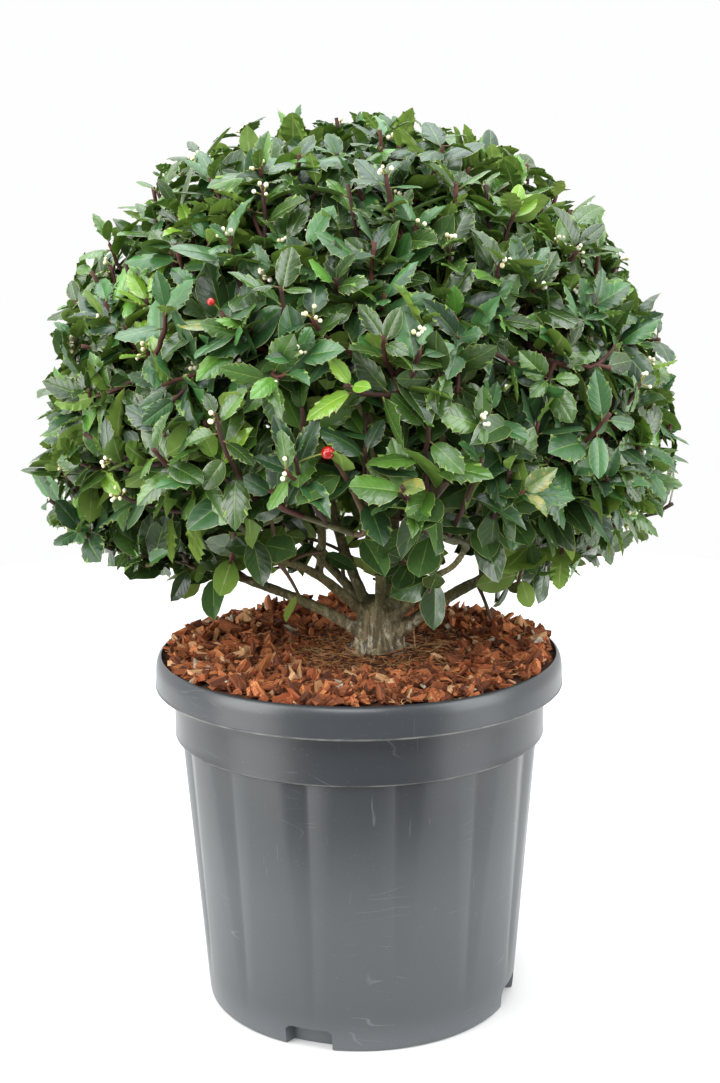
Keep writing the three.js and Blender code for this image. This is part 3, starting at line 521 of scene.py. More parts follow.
BUD_CLUSTERS = 200
BUD_RADIUS = (1.15, 1.75)
BUD_STRETCH = 0.15
BUD_REACH = (5, 9)
BUD_STRAY = 0.55
BUDS_PER_CLUSTER = (3, 7)
BUD_LOWEST = CROWN_CENTRE.z - 70
BUD_PLACE = 0.8  # they stand on this much of a sprig's last step
BUD_STALK_RADII = (0.45, 0.55)
BUD_STALK = ("bud_stalk", "#8a8a3c", "#b5a85a")
BERRY_SHELL = (10, 34)  # how far under the crown's outline a berry's sprig can be
BERRY_FROM_POINT = 3  # it grows from this point of a sprig or from a later one
BERRY_GAP = 3  # from its sprig to the berry
BERRY_DIMPLE = 0.12  # depth and breadth, of its radius
BERRY_STALK_RADIUS = 0.6
BERRY_STALK = ("berry_stalk", "#6c7a35", "#8a8f45")
BERRY_STALK_ARCH = 2


# ---- numbers and directions


def seeded(offset):
    return np.random.default_rng(SEED + offset)


def astray(rng, spread):
    """A random step in any direction."""
    return Vector(rng.normal(0, spread, 3))


def circle(count):
    """Angles evenly round a circle."""
    return np.arange(count) * 2 * math.pi / count


def direction(azimuth, rise):
    a, r = math.radians(azimuth), math.radians(rise)
    return Vector((math.cos(r) * math.cos(a), math.cos(r) * math.sin(a), math.sin(r)))


def crown_point(azimuth, polar, reach):
    return CROWN_CENTRE + reach * direction(azimuth, 90 - polar)


def crown_reach(polar):
    """How far the crown reaches from its centre at a polar angle."""
    side, drop = math.sin(math.radians(polar)), math.cos(math.radians(polar))
    level = UNDERSIDE_HEIGHT - UNDERSIDE_SLOPE * UNDERSIDE_RADIUS
    fall = UNDERSIDE_SLOPE * side - drop
    return min(CROWN_RADIUS, (CROWN_CENTRE.z - level) / fall) if fall > 0 else CROWN_RADIUS


def overshoot(point):
    """How far a point stands outside the crown's outline, negative inside."""
    outward = math.hypot(point.x, point.y)
    lowest = UNDERSIDE_HEIGHT + UNDERSIDE_SLOPE * (outward - UNDERSIDE_RADIUS)
    return max((point - CROWN_CENTRE).length - CROWN_RADIUS, lowest - point.z)


def bezier(ends, count):
    """Points along a Bezier curve of three or four control points, as an array."""
    t = np.linspace(0, 1, count)[:, None]
    p = [np.array(end) for end in ends]
    if len(p) == 3:
        return (1 - t) ** 2 * p[0] + 2 * t * (1 - t) * p[1] + t**2 * p[2]
    return (1 - t) ** 3 * p[0] + 3 * t * (1 - t) ** 2 * p[1] + 3 * t**2 * (1 - t) * p[2] + t**3 * p[3]


def between(ends, share):
    return ends[0] + (ends[1] - ends[0]) * share


def smoothstep(value, low, high):
    t = np.clip((value - low) / (high - low), 0, 1)
    return t * t * (3 - 2 * t)


def camera_turn():
    """The camera's rotation: it looks along -Z, tilted down and a little rolled."""
    upright = Matrix.Rotation(math.radians(90 - CAMERA_PITCH), 3, "X")
    return upright @ Matrix.Rotation(math.radians(CAMERA_ROLL), 3, "Z")


def sight(pixel):
    """The direction in which the camera sees a pixel of the picture."""
    across = (pixel[0] - PICTURE_WIDTH / 2) / FOCAL_LENGTH
    down = (pixel[1] - PICTURE_HEIGHT / 2) / FOCAL_LENGTH
    return (camera_turn() @ Vector((across, -down, -1))).normalized()


def seen_on_crown(pixel, reach):
    """Where the camera's ray through a pixel first meets a ball about the crown's centre."""
    way = sight(pixel)
    back = CROWN_CENTRE - Vector(CAMERA_PLACE)
    middle = back.dot(way)
    half = math.sqrt(max(0, reach**2 - back.length_squared + middle**2))
    return Vector(CAMERA_PLACE) + way * (middle - half)


def seen_at_height(pixel, height):
    """Where the camera's ray through a pixel meets a level."""
    way = sight(pixel)
    return Vector(CAMERA_PLACE) + way * ((height - CAMERA_PLACE[2]) / way.z)


# ---- meshes


class Batch:
    """Small meshes that are collected and made into one piece."""

    def __init__(self):
        self.points, self.faces, self.slots, self.flags, self.blades = [], [], [], [], []
        self.count = 0

    def add(self, points, faces, slots=None, flags=None, blades=None):
        points = np.asarray(points, float)
        faces = np.asarray(faces, int)
        self.points.append(points)
        self.faces.append(faces + self.count)
        self.slots.append(np.zeros(len(faces), int) if slots is None else slots)
        self.flags.append(np.zeros(len(points), int) if flags is None else flags)
        self.blades.append(np.zeros((len(points), 3)) if blades is None else blades)
        self.count += len(points)

    def piece(self, name, materials, slot, **options):
        return make_piece(
            name,
            np.concatenate(self.points),
            np.concatenate(self.faces),
            materials,
            slot,
            face_slots=np.concatenate(self.slots),
            flags=np.concatenate(self.flags),
            blades=np.concatenate(self.blades),
            **options,
        )


def make_piece(
    name,
    points,
    faces,
    materials,
    slot,
    replaced=(),
    face_slots=None,
    flags=None,
    blades=None,
    crease=None,
):
    """A mesh piece that rides on the part. Points come in millimetres."""
    mesh = bpy.data.meshes.new(name)
    faces = faces.tolist() if isinstance(faces, np.ndarray) else faces
    mesh.from_pydata((np.asarray(points) * MM).tolist(), [], faces)
    for material in materials:
        mesh.materials.append(material)
    mesh.shade_smooth()
    if face_slots is not None and len(materials) > 1:
        mesh.polygons.foreach_set("material_index", np.asarray(face_slots, np.int32))
    if flags is not None and np.any(flags):
        ends = np.empty(len(mesh.edges) * 2, np.int32)
        mesh.edges.foreach_get("vertices", ends)
        ends = np.asarray(flags)[ends.reshape(-1, 2)]
        sharp = mesh.attributes.new("sharp_edge", "BOOLEAN", "EDGE")
        sharp.data.foreach_set("value", (ends[:, 0] & ends[:, 1]) > 0)
    if blades is not None and np.any(blades):
        blade = mesh.attributes.new("blade", "FLOAT_VECTOR", "POINT")
        blade.data.foreach_set("vector", np.asarray(blades, np.float32).ravel())
    if crease is not None:
        mesh.set_sharp_from_angle(angle=math.radians(crease))
    piece = bpy.data.objects.new(name, mesh)
    bpy.context.scene.collection.objects.link(piece)
    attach(piece, "root")
    if replaced:
        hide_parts(*replaced)
    return piece


def tube(points, radii, sides):
    """A closed round tube through points, as (points, triangles)."""
    points = np.asarray(points, float)
    count = len(points)
    radii = np.broadcast_to(radii, count)
    ways = np.gradient(points, axis=0)
    ways /= np.linalg.norm(ways, axis=1)[:, None]
    nearly_upright = abs(ways[0][2]) >= 0.9
    side = np.cross(ways[0], ACROSS_ROW if nearly_upright else UP_ROW)
    angles = circle(sides)
    rings = []
    for k in range(count):
        side = side - ways[k] * side.dot(ways[k])
        side /= np.linalg.norm(side)
        other = np.cross(ways[k], side)
        spokes = np.cos(angles)[:, None] * side + np.sin(angles)[:, None] * other
        rings.append(points[k] + radii[k] * spokes)
    return np.concatenate(rings), tube_faces(count, sides)


def tube_faces(count, sides):
    faces = []
    for ring in range(count - 1):
        for k in range(sides):
            a = ring * sides + k
            b = ring * sides + (k + 1) % sides
            faces += [(a, b, b + sides), (a, b + sides, a + sides)]
    last = (count - 1) * sides
    for k in range(1, sides - 1):
        faces += [(0, k + 1, k), (last, last + k, last + k + 1)]
    return faces


def closed_skin(rings, first_hub, last_hub):
    """A skin through rings of points, closed by a fan to a hub at each end, as (points, faces)."""
    count, segments = rings.shape[:2]
    points = np.concatenate([rings.reshape(-1, 3), [first_hub, last_hub]])
    ring, k = np.meshgrid(np.arange(count - 1), np.arange(segments), indexing="ij")
    a = ring * segments + k
    b = ring * segments + (k + 1) % segments
    faces = np.stack([a, b, b + segments, a + segments], -1).reshape(-1, 4).tolist()
    hub, last = count * segments, (count - 1) * segments
    for k in range(segments):
        after = (k + 1) % segments
        faces.append((hub, after, k))
        faces.append((hub + 1, last + k, last + after))
    return points, faces


# ---- materials

# The numbers in the materials: scales of noise are per metre, heights are metres above the ground, and
# shares go from 0 to 1. The socket numbers of a colour mix:
MIX_FACTOR, MIX_A, MIX_B, MIX_RESULT = 0, 6, 7, 2

# Dust on the pot: from this height, where there is none, to that one, and the most of it.
POT_DUST = [(0.03, 0.0, 0.25), (0.253, 0.258, 0.1), (0.2, 0.1, 0.21)]
POT_SCRATCHES = [(24, (0.35, 0.35, 3.2), 4), (19, (0.3, 0.3, 2.6), -13)]  # scale, stretch and turn
# Painted highlight: pale broken lines along the lower edges of the rim and of the collar, between these
# heights.
EDGE_HIGHLIGHT_LINES = [(0.2562, 0.2574), (0.2168, 0.2182)]  # heights of the rim's foot and of the collar's
OLD_BARK_HEIGHTS = (0.325, 0.288)  # from young bark down to old bark


def colour(code):
    """The linear colour of a web colour code."""
    values = [int(code[k : k + 2], 16) / 255 for k in (1, 3, 5)]
    return [v / 12.92 if v <= 0.04045 else ((v + 0.055) / 1.055) ** 2.4 for v in values] + [1.0]


class Shader:
    """A material whose nodes are added step by step. Each step gives an output socket."""

    def __init__(self, name, base, roughness, **settings):
        self.material = bpy.data.materials.new(name)
        self.material.use_nodes = True
        self.tree = self.material.node_tree
        self.surface = self.tree.nodes["Principled BSDF"]
        self.set("Base Color", colour(base))
        self.set("Roughness", roughness)
        for socket, value in settings.items():
            self.set(socket.replace("_", " "), value)

    def put(self, target, value):
        if isinstance(value, bpy.types.NodeSocket):
            self.tree.links.new(value, target)
        else:
            target.default_value = value

    def set(self, socket, value):
        self.put(self.surface.inputs[socket], value)

    def node(self, kind, inputs, output, **settings):
        """The output of a new node."""
        node = self.tree.nodes.new(kind)
        for name, value in settings.items():
            setattr(node, name, value)
        for socket, value in inputs.items():
            self.put(node.inputs[socket], value)
        return node.outputs[output]

    def own(self):
        """The piece's own coordinates, in metres."""
        return self.node("ShaderNodeTexCoord", {}, "Object")

    def height(self):
        """Metres above the ground."""
        return self.node("ShaderNodeSeparateXYZ", {0: self.own()}, "Z")

    def each(self):
        """A number from 0 to 1 that each loose body of the piece has for itself."""
        return self.node("ShaderNodeNewGeometry", {}, "Random Per Island")

    def blade(self):
        """What the mesh says of each point: on a leaf, where it is from the midrib and along the blade."""
        return self.node("ShaderNodeAttribute", {}, "Vector", attribute_name="blade")

    def stretched(self, place, scale):
        return self.node("ShaderNodeMapping", {"Vector": place, "Scale": scale}, "Vector")

    def noise(self, scale, detail=3.0, stretch=(1, 1, 1), rough=0.5, turn=0):
        """Noise over the piece, which can be turned by degrees about the front axis and stretched."""
        place = self.own()
        if turn:
            inputs = {"Vector": place, "Rotation": (0, math.radians(turn), 0)}
            place = self.node("ShaderNodeMapping", inputs, "Vector")
        return self.noise_at(self.stretched(place, stretch), scale, detail, rough)

    def noise_at(self, place, scale, detail, rough=0.5):
        inputs = {"Vector": place, "Scale": scale, "Detail": detail, "Roughness": rough}
        return self.node("ShaderNodeTexNoise", inputs, "Fac")

    def sums(self, operation, a, b=0.0):
        return self.node("ShaderNodeMath", {0: a, 1: b}, 0, operation=operation)

    def times(self, a, b):
        return self.sums("MULTIPLY", a, b)

    def away(self, value, middle):
        return self.sums("ABSOLUTE", self.sums("SUBTRACT", value, middle))

    def step(self, value, low, high, most=1.0, least=0.0):
        """The least up to a low value, the most from a high one, and a smooth way between them."""
        inputs = {"Value": value, "From Min": low, "From Max": high, "To Min": least, "To Max": most}
        return self.node("ShaderNodeMapRange", inputs, "Result", interpolation_type="SMOOTHSTEP")

    def patches(self, scale, detail, low, high, most=1.0, **options):
        """Patches of noise, which fade in between a low and a high value."""
        return self.step(self.noise(scale, detail, **options), low, high, most)

    def mix(self, factor, a, b):
        """From one colour to another. Each is a web colour code or a socket."""
        a, b = (colour(tint) if isinstance(tint, str) else tint for tint in (a, b))
        inputs = {MIX_FACTOR: factor, MIX_A: a, MIX_B: b}
        return self.node("ShaderNodeMix", inputs, MIX_RESULT, data_type="RGBA")

    def finish(self, base, *layers):
        """The material with its colour, and bumps from (height socket, depth in millimetres) pairs."""
        self.set("Base Color", base)
        normal = None
        for height, depth in layers:
            inputs = {"Height": height, "Distance": depth * MM, "Strength": 1.0}
            if normal is not None:
                inputs["Normal"] = normal
            normal = self.node("ShaderNodeBump", inputs, "Normal")
        if normal is not None:
            self.set("Normal", normal)
        return self.material


def pot_plastic():
    """Satin black plastic with dust, fine scratches, and painted highlight lines at the rim's and collar's
    lower edges.
    """
    shader = Shader("pot_plastic", "#26292c", 0.3, IOR=1.58)
    cloud = shader.noise(9, 5, rough=0.6)
    speck = shader.patches(900, 2, 0.7, 0.78, 0.3)
    upright = shader.patches(300, 2, 0.72, 0.79, 0.18, stretch=(1, 1, 0.04))
    base = shader.mix(cloud, "#202226", "#303337")
    dust = 0.0
    for low, high, most in POT_DUST:
        dust = shader.sums("ADD", dust, shader.step(shader.height(), low, high, most))
    base = shader.mix(dust, base, "#6a6e72")
    for scale, stretch, turn in POT_SCRATCHES:
        hair = shader.away(shader.noise(scale, 0, stretch=stretch, turn=turn), 0.5)
        where = shader.patches(26, 2, 0.58, 0.7, 0.16, turn=turn)
        line = shader.times(shader.step(hair, 0.008, 0.002), where)
        base = shader.mix(line, base, "#9a9fa1")
    base = shader.mix(upright, base, "#8f9496")
    base = shader.mix(speck, base, "#a9a69c")
    # Painted highlight: pale broken lines along the rim's foot and the collar's foot.
    for low, high in EDGE_HIGHLIGHT_LINES:
        away = shader.away(shader.height(), (low + high) / 2)
        line = shader.step(away, (high - low) * 0.8, (high - low) * 0.2, 0.24)
        painted_edge_highlight = shader.times(line, shader.patches(50, 5, 0.3, 0.65))
        base = shader.mix(painted_edge_highlight, base, "#b9b6aa")
    shader.set("Roughness", shader.step(cloud, 0.3, 0.7, 0.34, 0.285))
    return shader.finish(base, (shader.noise(60, 2), 0.06), (shader.noise(420, 2), 0.03))


def soil_with_painted_shade():
    # Dark soil, made darker still as painted shade in the gaps between the chips.
    shader = Shader("soil_with_painted_shade", "#3c2216", 1.0)
    base = shader.mix(shader.noise(90, 6), "#1d0f09", "#502710")
    return shader.finish(base, (shader.noise(260, 6), 1.2))


def bark_chip(name, dark, light):
    """Torn bark: a tint for each chip, and fibres that run along it."""
    shader = Shader(name, dark, 0.95)
    grain = shader.noise_at(shader.stretched(shader.blade(), (0.12, 1.1, 1.1)), 1.0, 4.0)
    base = shader.mix(shader.each(), dark, light)
    base = shader.mix(shader.step(grain, 0.45, 0.66, 0.8), base, dark)
    base = shader.mix(shader.step(grain, 0.4, 0.25, 0.5), base, light)
    return shader.finish(base, (grain, 0.8))


def fibre(name, dark, light):
    shader = Shader(name, dark, 0.8)
    base = shader.mix(shader.each(), dark, light)
    return shader.finish(shader.mix(shader.patches(500, 3, 0.4, 0.7, 0.4), base, dark))


def shrub_bark():
    """Olive young bark above, and grey old bark with pale flecks and dark cracks at the foot."""
    shader = Shader("shrub_bark", "#5c6038", 0.75)
    mottle = shader.noise(55, 6, rough=0.6)
    crack = shader.patches(240, 5, 0.52, 0.4, stretch=(1, 1, 0.22), rough=0.65)
    fleck = shader.patches(330, 4, 0.56, 0.64, stretch=(1, 1, 0.7))
    lichen = shader.patches(170, 6, 0.5, 0.58, stretch=(1, 1, 0.75), rough=0.75)
    old = shader.step(shader.height(), *OLD_BARK_HEIGHTS)
    olive = shader.mix(shader.step(mottle, 0.35, 0.7), "#4b4825", "#797048")
    grey = shader.mix(shader.noise(95, 5), "#74644b", "#ab9771")
    base = shader.mix(shader.times(old, 0.9), olive, grey)
    base = shader.mix(shader.times(lichen, shader.times(old, 0.8)), base, "#cfc9b4")
    base = shader.mix(shader.times(fleck, 0.3), base, "#b5ad93")
    crack_share = shader.sums("ADD", shader.times(old, 0.5), 0.2)
    base = shader.mix(shader.times(crack, crack_share), base, "#2e2a1e")
    return shader.finish(base, (mottle, 1.0), (crack, -0.7))


def twig_bark(name, dark, light):
    shader = Shader(name, dark, 0.7)
    base = shader.mix(shader.each(), dark, light)
    base = shader.mix(shader.patches(240, 4, 0.5, 0.7, 0.5), base, light)
    return shader.finish(base, (shader.noise(500, 3), 0.3))


def blade_marks(shader):
    """(from the midrib to the edge 0..1, along the blade 0..1) as sockets."""
    blade = shader.blade()
    across, along = (shader.node("ShaderNodeSeparateXYZ", {0: blade}, axis) for axis in "XY")
    return shader.sums("ABSOLUTE", across), along


def leaf_upper(name, tints, rib="#7f9a48", edge=LEAF_EDGE, roughness=0.25, blotch=None):
    """A glossy upper side: a tint for each leaf, a pale midrib, faint side veins and a pale thin edge."""
    shader = Shader(name, tints[0], roughness, IOR=1.6)
    across, along = blade_marks(shader)
    pick = shader.each()
    base = shader.mix(shader.step(pick, 0.0, 0.55), tints[0], tints[1])
    base = shader.mix(shader.step(pick, 0.5, 1.0), base, tints[2])
    base = shader.mix(shader.patches(150, 3, 0.35, 0.75, 0.4), base, tints[1])
    if blotch:
        base = shader.mix(shader.patches(95, 4, 0.48, 0.62), base, blotch)
    slant = shader.sums("SUBTRACT", along, shader.times(across, VEIN_SLANT))
    vein = shader.step(shader.sums("SINE", shader.times(slant, VEIN_WAVES)), 0.72, 1.0)
    base = shader.mix(shader.times(vein, 0.05), base, rib)
    midrib = shader.step(across, 0.06, 0.02)
    base = shader.mix(shader.times(midrib, 0.5), base, rib)
    base = shader.mix(shader.step(across, *LEAF_RIM, 0.8), base, edge)
    return shader.finish(base, (vein, -0.08), (shader.noise(110, 2), 0.5))


def leaf_under(name, tints):
    """The paler, duller underside."""
    shader = Shader(name, tints[0], 0.5, IOR=1.4)
    across, _ = blade_marks(shader)
    base = shader.mix(shader.each(), *tints)
    base = shader.mix(shader.patches(170, 3, 0.4, 0.7, 0.3), base, tints[1])
    base = shader.mix(shader.step(across, 0.09, 0.03, 0.7), base, "#a9b37b")
    base = shader.mix(shader.step(across, *LEAF_RIM, 0.6), base, LEAF_EDGE)
    return shader.finish(base, (shader.noise(300, 3), 0.25))


def bud_cream():
    shader = Shader("bud_cream", "#e9e0bb", 0.45, Subsurface_Weight=0.15, Subsurface_Scale=0.002)
    base = shader.mix(shader.each(), "#e4d9ab", "#f3efdc")
    return shader.finish(base, (shader.noise(700, 2), 0.2))


def berry_red():
    shader = Shader("berry_red", "#b3140c", 0.22, Coat_Weight=0.4)
    return shader.finish(shader.mix(shader.noise(160, 3), "#c41a0e", "#8f0d08"))


def studio_floor():
    shader = Shader("studio_floor", "#e4e4e2", 0.7)
    return shader.finish(shader.mix(shader.noise(2, 2), "#e2e2e0", "#e6e6e5"))


# ---- camera and studio


def make_camera():
    data = bpy.data.cameras.new("camera")
    data.sensor_width = SENSOR
    data.lens = FOCAL_LENGTH / PICTURE_HEIGHT * SENSOR
    data.clip_start, data.clip_end = CLIP
    camera = bpy.data.objects.new("camera", data)
    camera.location = Vector(CAMERA_PLACE) * MM
    camera.rotation_euler = camera_turn().to_euler()
    bpy.context.scene.collection.objects.link(camera)
    bpy.context.scene.camera = camera


def add_softbox(name, place, size, power, tint):
    """A soft light that faces the middle of the plant."""
    data = bpy.data.lights.new(name, "AREA")
    data.shape = "RECTANGLE"
    data.size, data.size_y = size
    data.energy = power
    data.color = tint
    light = bpy.data.objects.new(name, data)
    light.location = place
    aim = LIGHTS_AIM - Vector(place)
    light.rotation_euler = aim.to_track_quat("-Z", "Y").to_euler()
    bpy.context.scene.collection.objects.link(light)


def make_sky():
    """A pale room: bright above, behind and at the sides, dim on the camera's side."""
    world = bpy.data.worlds.new("studio")
    world.use_nodes = True
    nodes, links = world.node_tree.nodes, world.node_tree.links
    parts = nodes.new("ShaderNodeSeparateXYZ")
    links.new(nodes.new("ShaderNodeTexCoord").outputs["Generated"], parts.inputs[0])
    total = nodes.new("ShaderNodeMath")
    for number, (axis, low, high, most) in enumerate(ROOM_SHADES):
        shade = nodes.new("ShaderNodeMapRange")
        shade.interpolation_type = "SMOOTHSTEP"
        limits = {"From Min": low, "From Max": high, "To Min": ROOM_DIMMEST, "To Max": most}
        for socket, value in limits.items():
            shade.inputs[socket].default_value = value
        links.new(parts.outputs[axis], shade.inputs["Value"])
        links.new(shade.outputs["Result"], total.inputs[number])
    pick = nodes.new("ShaderNodeMix")
    pick.data_type = "RGBA"
    pick.inputs[MIX_B].default_value = BACKDROP
    links.new(nodes.new("ShaderNodeLightPath").outputs["Is Camera Ray"], pick.inputs[MIX_FACTOR])
    links.new(total.outputs[0], pick.inputs[MIX_A])
    links.new(pick.outputs[MIX_RESULT], nodes["Background"].inputs["Color"])
    bpy.context.scene.world = world


def make_studio():
    make_sky()
    for name, settings in SOFTBOXES.items():
        add_softbox(name, *settings)
    bpy.ops.mesh.primitive_circle_add(vertices=FLOOR_CORNERS, radius=FLOOR_RADIUS, fill_type="NGON")
    floor = bpy.context.object
    floor.name = "studio_floor"
    floor.location = (0, FLOOR_RADIUS - FLOOR_FRONT, -FLOOR_DROP)
    floor.data.materials.append(studio_floor())
    bpy.context.scene.view_settings.view_transform = "Standard"


# ---- pot


def body_radius(height):
    return BODY_FOOT_RADIUS + (BODY_TOP_RADIUS - BODY_FOOT_RADIUS) * height / COLLAR_FOOT


def arc(centre, radius, start, end, steps):
    """Points (radius, height) round a centre, between two angles in degrees."""
    angles = np.radians(np.linspace(start, end, steps))
    return [(centre[0] + radius * math.cos(a), centre[1] + radius * math.sin(a)) for a in angles]


def corner(radius, height, steps):
    """Points (radius, height) by their steps outwards and upwards from a place."""
    return [(radius + outwards, height + upwards) for outwards, upwards in steps]


def pot_profile():
    """The wall's outline, from the middle of the underside round the rim to the middle of the floor."""
    rim_foot = POT_HEIGHT - RIM_DEPTH
    under_rim = rim_foot - RIM_FILLET
    outside = [(0, 0), (FLOOR_RING, 0)]
    outside += arc((BODY_FOOT_RADIUS - FOOT_ROUNDING, FOOT_ROUNDING), FOOT_ROUNDING, -90, 0, 5)
    outside += [(body_radius(z), z) for z in OUTSIDE_LEVELS]
    outside += [(body_radius(z), z) for z in np.linspace(GROOVE_FOOT + 14, COLLAR_FOOT - 2, BODY_RINGS)]
    outside += [(body_radius(COLLAR_FOOT), COLLAR_FOOT)]
    outside += corner(COLLAR_RADIUS, COLLAR_FOOT, COLLAR_EDGE)
    outside += [(COLLAR_RADIUS, z) for z in np.linspace(COLLAR_FOOT + 8, under_rim, 4)]
    outside += arc((COLLAR_RADIUS + RIM_FILLET, under_rim), RIM_FILLET, 180, 90, 4)[1:]
    outside += corner(RIM_RADIUS, rim_foot, RIM_EDGE)
    for lean in np.radians(np.linspace(0, 90, 10)):
        inwards = RIM_SHOULDER_INSET + RIM_SHOULDER[0] * (1 - math.cos(lean))
        outside.append((RIM_RADIUS - inwards, POT_HEIGHT - RIM_SHOULDER[1] * (1 - math.sin(lean))))
    inner_edge = RIM_RADIUS - RIM_WALL
    inside = corner(inner_edge, POT_HEIGHT, RIM_INSIDE_TOP)
    inside += corner(inner_edge, rim_foot + POT_WALL, RIM_INSIDE_FOOT)
    inside += [(COLLAR_RADIUS - POT_WALL, rim_foot + POT_WALL - 1)]
    inside += [(COLLAR_RADIUS - POT_WALL, COLLAR_FOOT + COLLAR_CHAMFER)]
    inside += [(BODY_TOP_RADIUS - POT_WALL - GROOVE_DEPTH, COLLAR_FOOT - 1)]
    inside += [(body_radius(z) - POT_WALL, z) for z in INSIDE_LEVELS]
    inside += [(FLOOR_RING, POT_FLOOR), (0, POT_FLOOR)]
    return outside, inside


def notch_mask(arc_length, height):
    """Whether a distance from a notch's middle and a height are inside its rounded opening."""
    dx = np.maximum(np.abs(arc_length) - (NOTCH_WIDTH / 2 - NOTCH_CORNER), 0)
    dz = np.maximum(height - (NOTCH_HEIGHT - NOTCH_CORNER), 0)
    return np.hypot(dx, dz) <= NOTCH_CORNER


def groove_depth(azimuth, height):
    """How deep the wall's grooves are at an azimuth and a height."""
    rise = np.clip((height - GROOVE_FOOT) / (COLLAR_FOOT - GROOVE_FOOT), 0, 1)
    narrow, wide = GROOVE_HALF_WIDTH
    half_width = narrow + (wide - narrow) * rise
    pitch = 360 / GROOVES
    away = np.abs((azimuth - GROOVE_AZIMUTH + pitch / 2) % pitch - pitch / 2)
    shape = np.maximum(0, 1 - away / half_width) ** GROOVE_CURVE
    return GROOVE_DEPTH * half_width / wide * shape * smoothstep(rise, 0, GROOVE_FADE)


def make_pot():
    outside, inside = pot_profile()
    profile = np.array(outside + inside)[1:-1]
    is_inside = np.arange(len(profile)) >= len(outside) - 1
    angles = circle(POT_SEGMENTS)
    radius = np.repeat(profile[:, 0:1], POT_SEGMENTS, axis=1)
    height = np.repeat(profile[:, 1:2], POT_SEGMENTS, axis=1)
    inner = np.repeat(is_inside[:, None], POT_SEGMENTS, axis=1)

    depth = groove_depth(np.degrees(angles)[None, :], height)
    grooved = (height <= COLLAR_FOOT) & ~inner & (radius > FLOOR_RING)
    radius = np.where(grooved, radius - depth, radius)

    for notch in range(NOTCHES):
        middle = math.radians(NOTCH_AZIMUTH + 360 / NOTCHES * notch)
        turn = (angles - middle + math.pi) % (2 * math.pi) - math.pi
        away = turn[None, :] * BODY_FOOT_RADIUS
        back = BODY_FOOT_RADIUS - NOTCH_DEPTH
        cut = notch_mask(away, height) & ~inner
        radius = np.where(cut, np.minimum(radius, back), radius)
        boss = notch_mask(away * (NOTCH_WIDTH / (NOTCH_WIDTH + 2 * POT_WALL)), height - POT_WALL) & inner
        radius = np.where(boss, np.minimum(radius, back - POT_WALL), radius)

    rings = np.stack([radius * np.cos(angles), radius * np.sin(angles), height], -1)
    points, faces = closed_skin(rings, (0, 0, 0), (0, 0, POT_FLOOR))
    make_piece("pot_shell", points, faces, [pot_plastic()], "pot", replaced=["pot"], crease=POT_CREASE)


# ---- bed


def bed_surface(x, y):
    radius, azimuth = np.hypot(x, y), np.arctan2(y, x)
    calm = 1 - smoothstep(radius, BED_CALM_RADIUS, 2 * BED_CALM_RADIUS)
    edge = smoothstep(radius, *BED_EDGE)
    ripple = sum(rise * np.sin(around * azimuth + radius / length) for rise, around, length in BED_WAVES)
    return BED_HEIGHT - BED_CALM_DROP * calm + (1 - calm) * (BED_EDGE_RISE * edge + ripple)


def make_bed():
    angles = circle(BED_SEGMENTS)
    radii = BED_RADIUS * np.linspace(1, BED_HUB, BED_RINGS)
    x, y = radii[:, None] * np.cos(angles), radii[:, None] * np.sin(angles)
    breadth, height = SOIL_LUMPS
    lumps = [noise.noise((a / breadth, b / breadth, 3)) for a, b in zip(x.ravel(), y.ravel())]
    top = np.stack([x, y, bed_surface(x, y) - SOIL_DROP + height * np.reshape(lumps, x.shape)], -1)
    floor = BED_HEIGHT - BED_THICKNESS
    skirt = np.stack([x[0], y[0], np.full(BED_SEGMENTS, floor)], -1)
    rings = np.concatenate([skirt[None], top])
    points, faces = closed_skin(rings, (0, 0, floor), (0, 0, top[-1, -1, 2]))
    make_piece("mulch_bed", points, faces, [soil_with_painted_shade()], "mulch", replaced=["mulch"])


def turned_frames(rng, count, tilt):
    """Random frames (count, 3, 3) whose third axis leans up to tilt degrees from straight up."""
    spin = rng.uniform(0, 2 * math.pi, count)
    lean = np.radians(tilt) * np.sqrt(rng.uniform(0, 1, count))
    heading = rng.uniform(0, 2 * math.pi, count)
    third = np.stack([np.sin(lean) * np.cos(heading), np.sin(lean) * np.sin(heading), np.cos(lean)], -1)
    first = np.stack([np.cos(spin), np.sin(spin), np.zeros(count)], -1)
    first -= third * np.sum(first * third, -1)[:, None]
    first /= np.linalg.norm(first, axis=-1)[:, None]
    return np.stack([first, np.cross(third, first), third], 1)


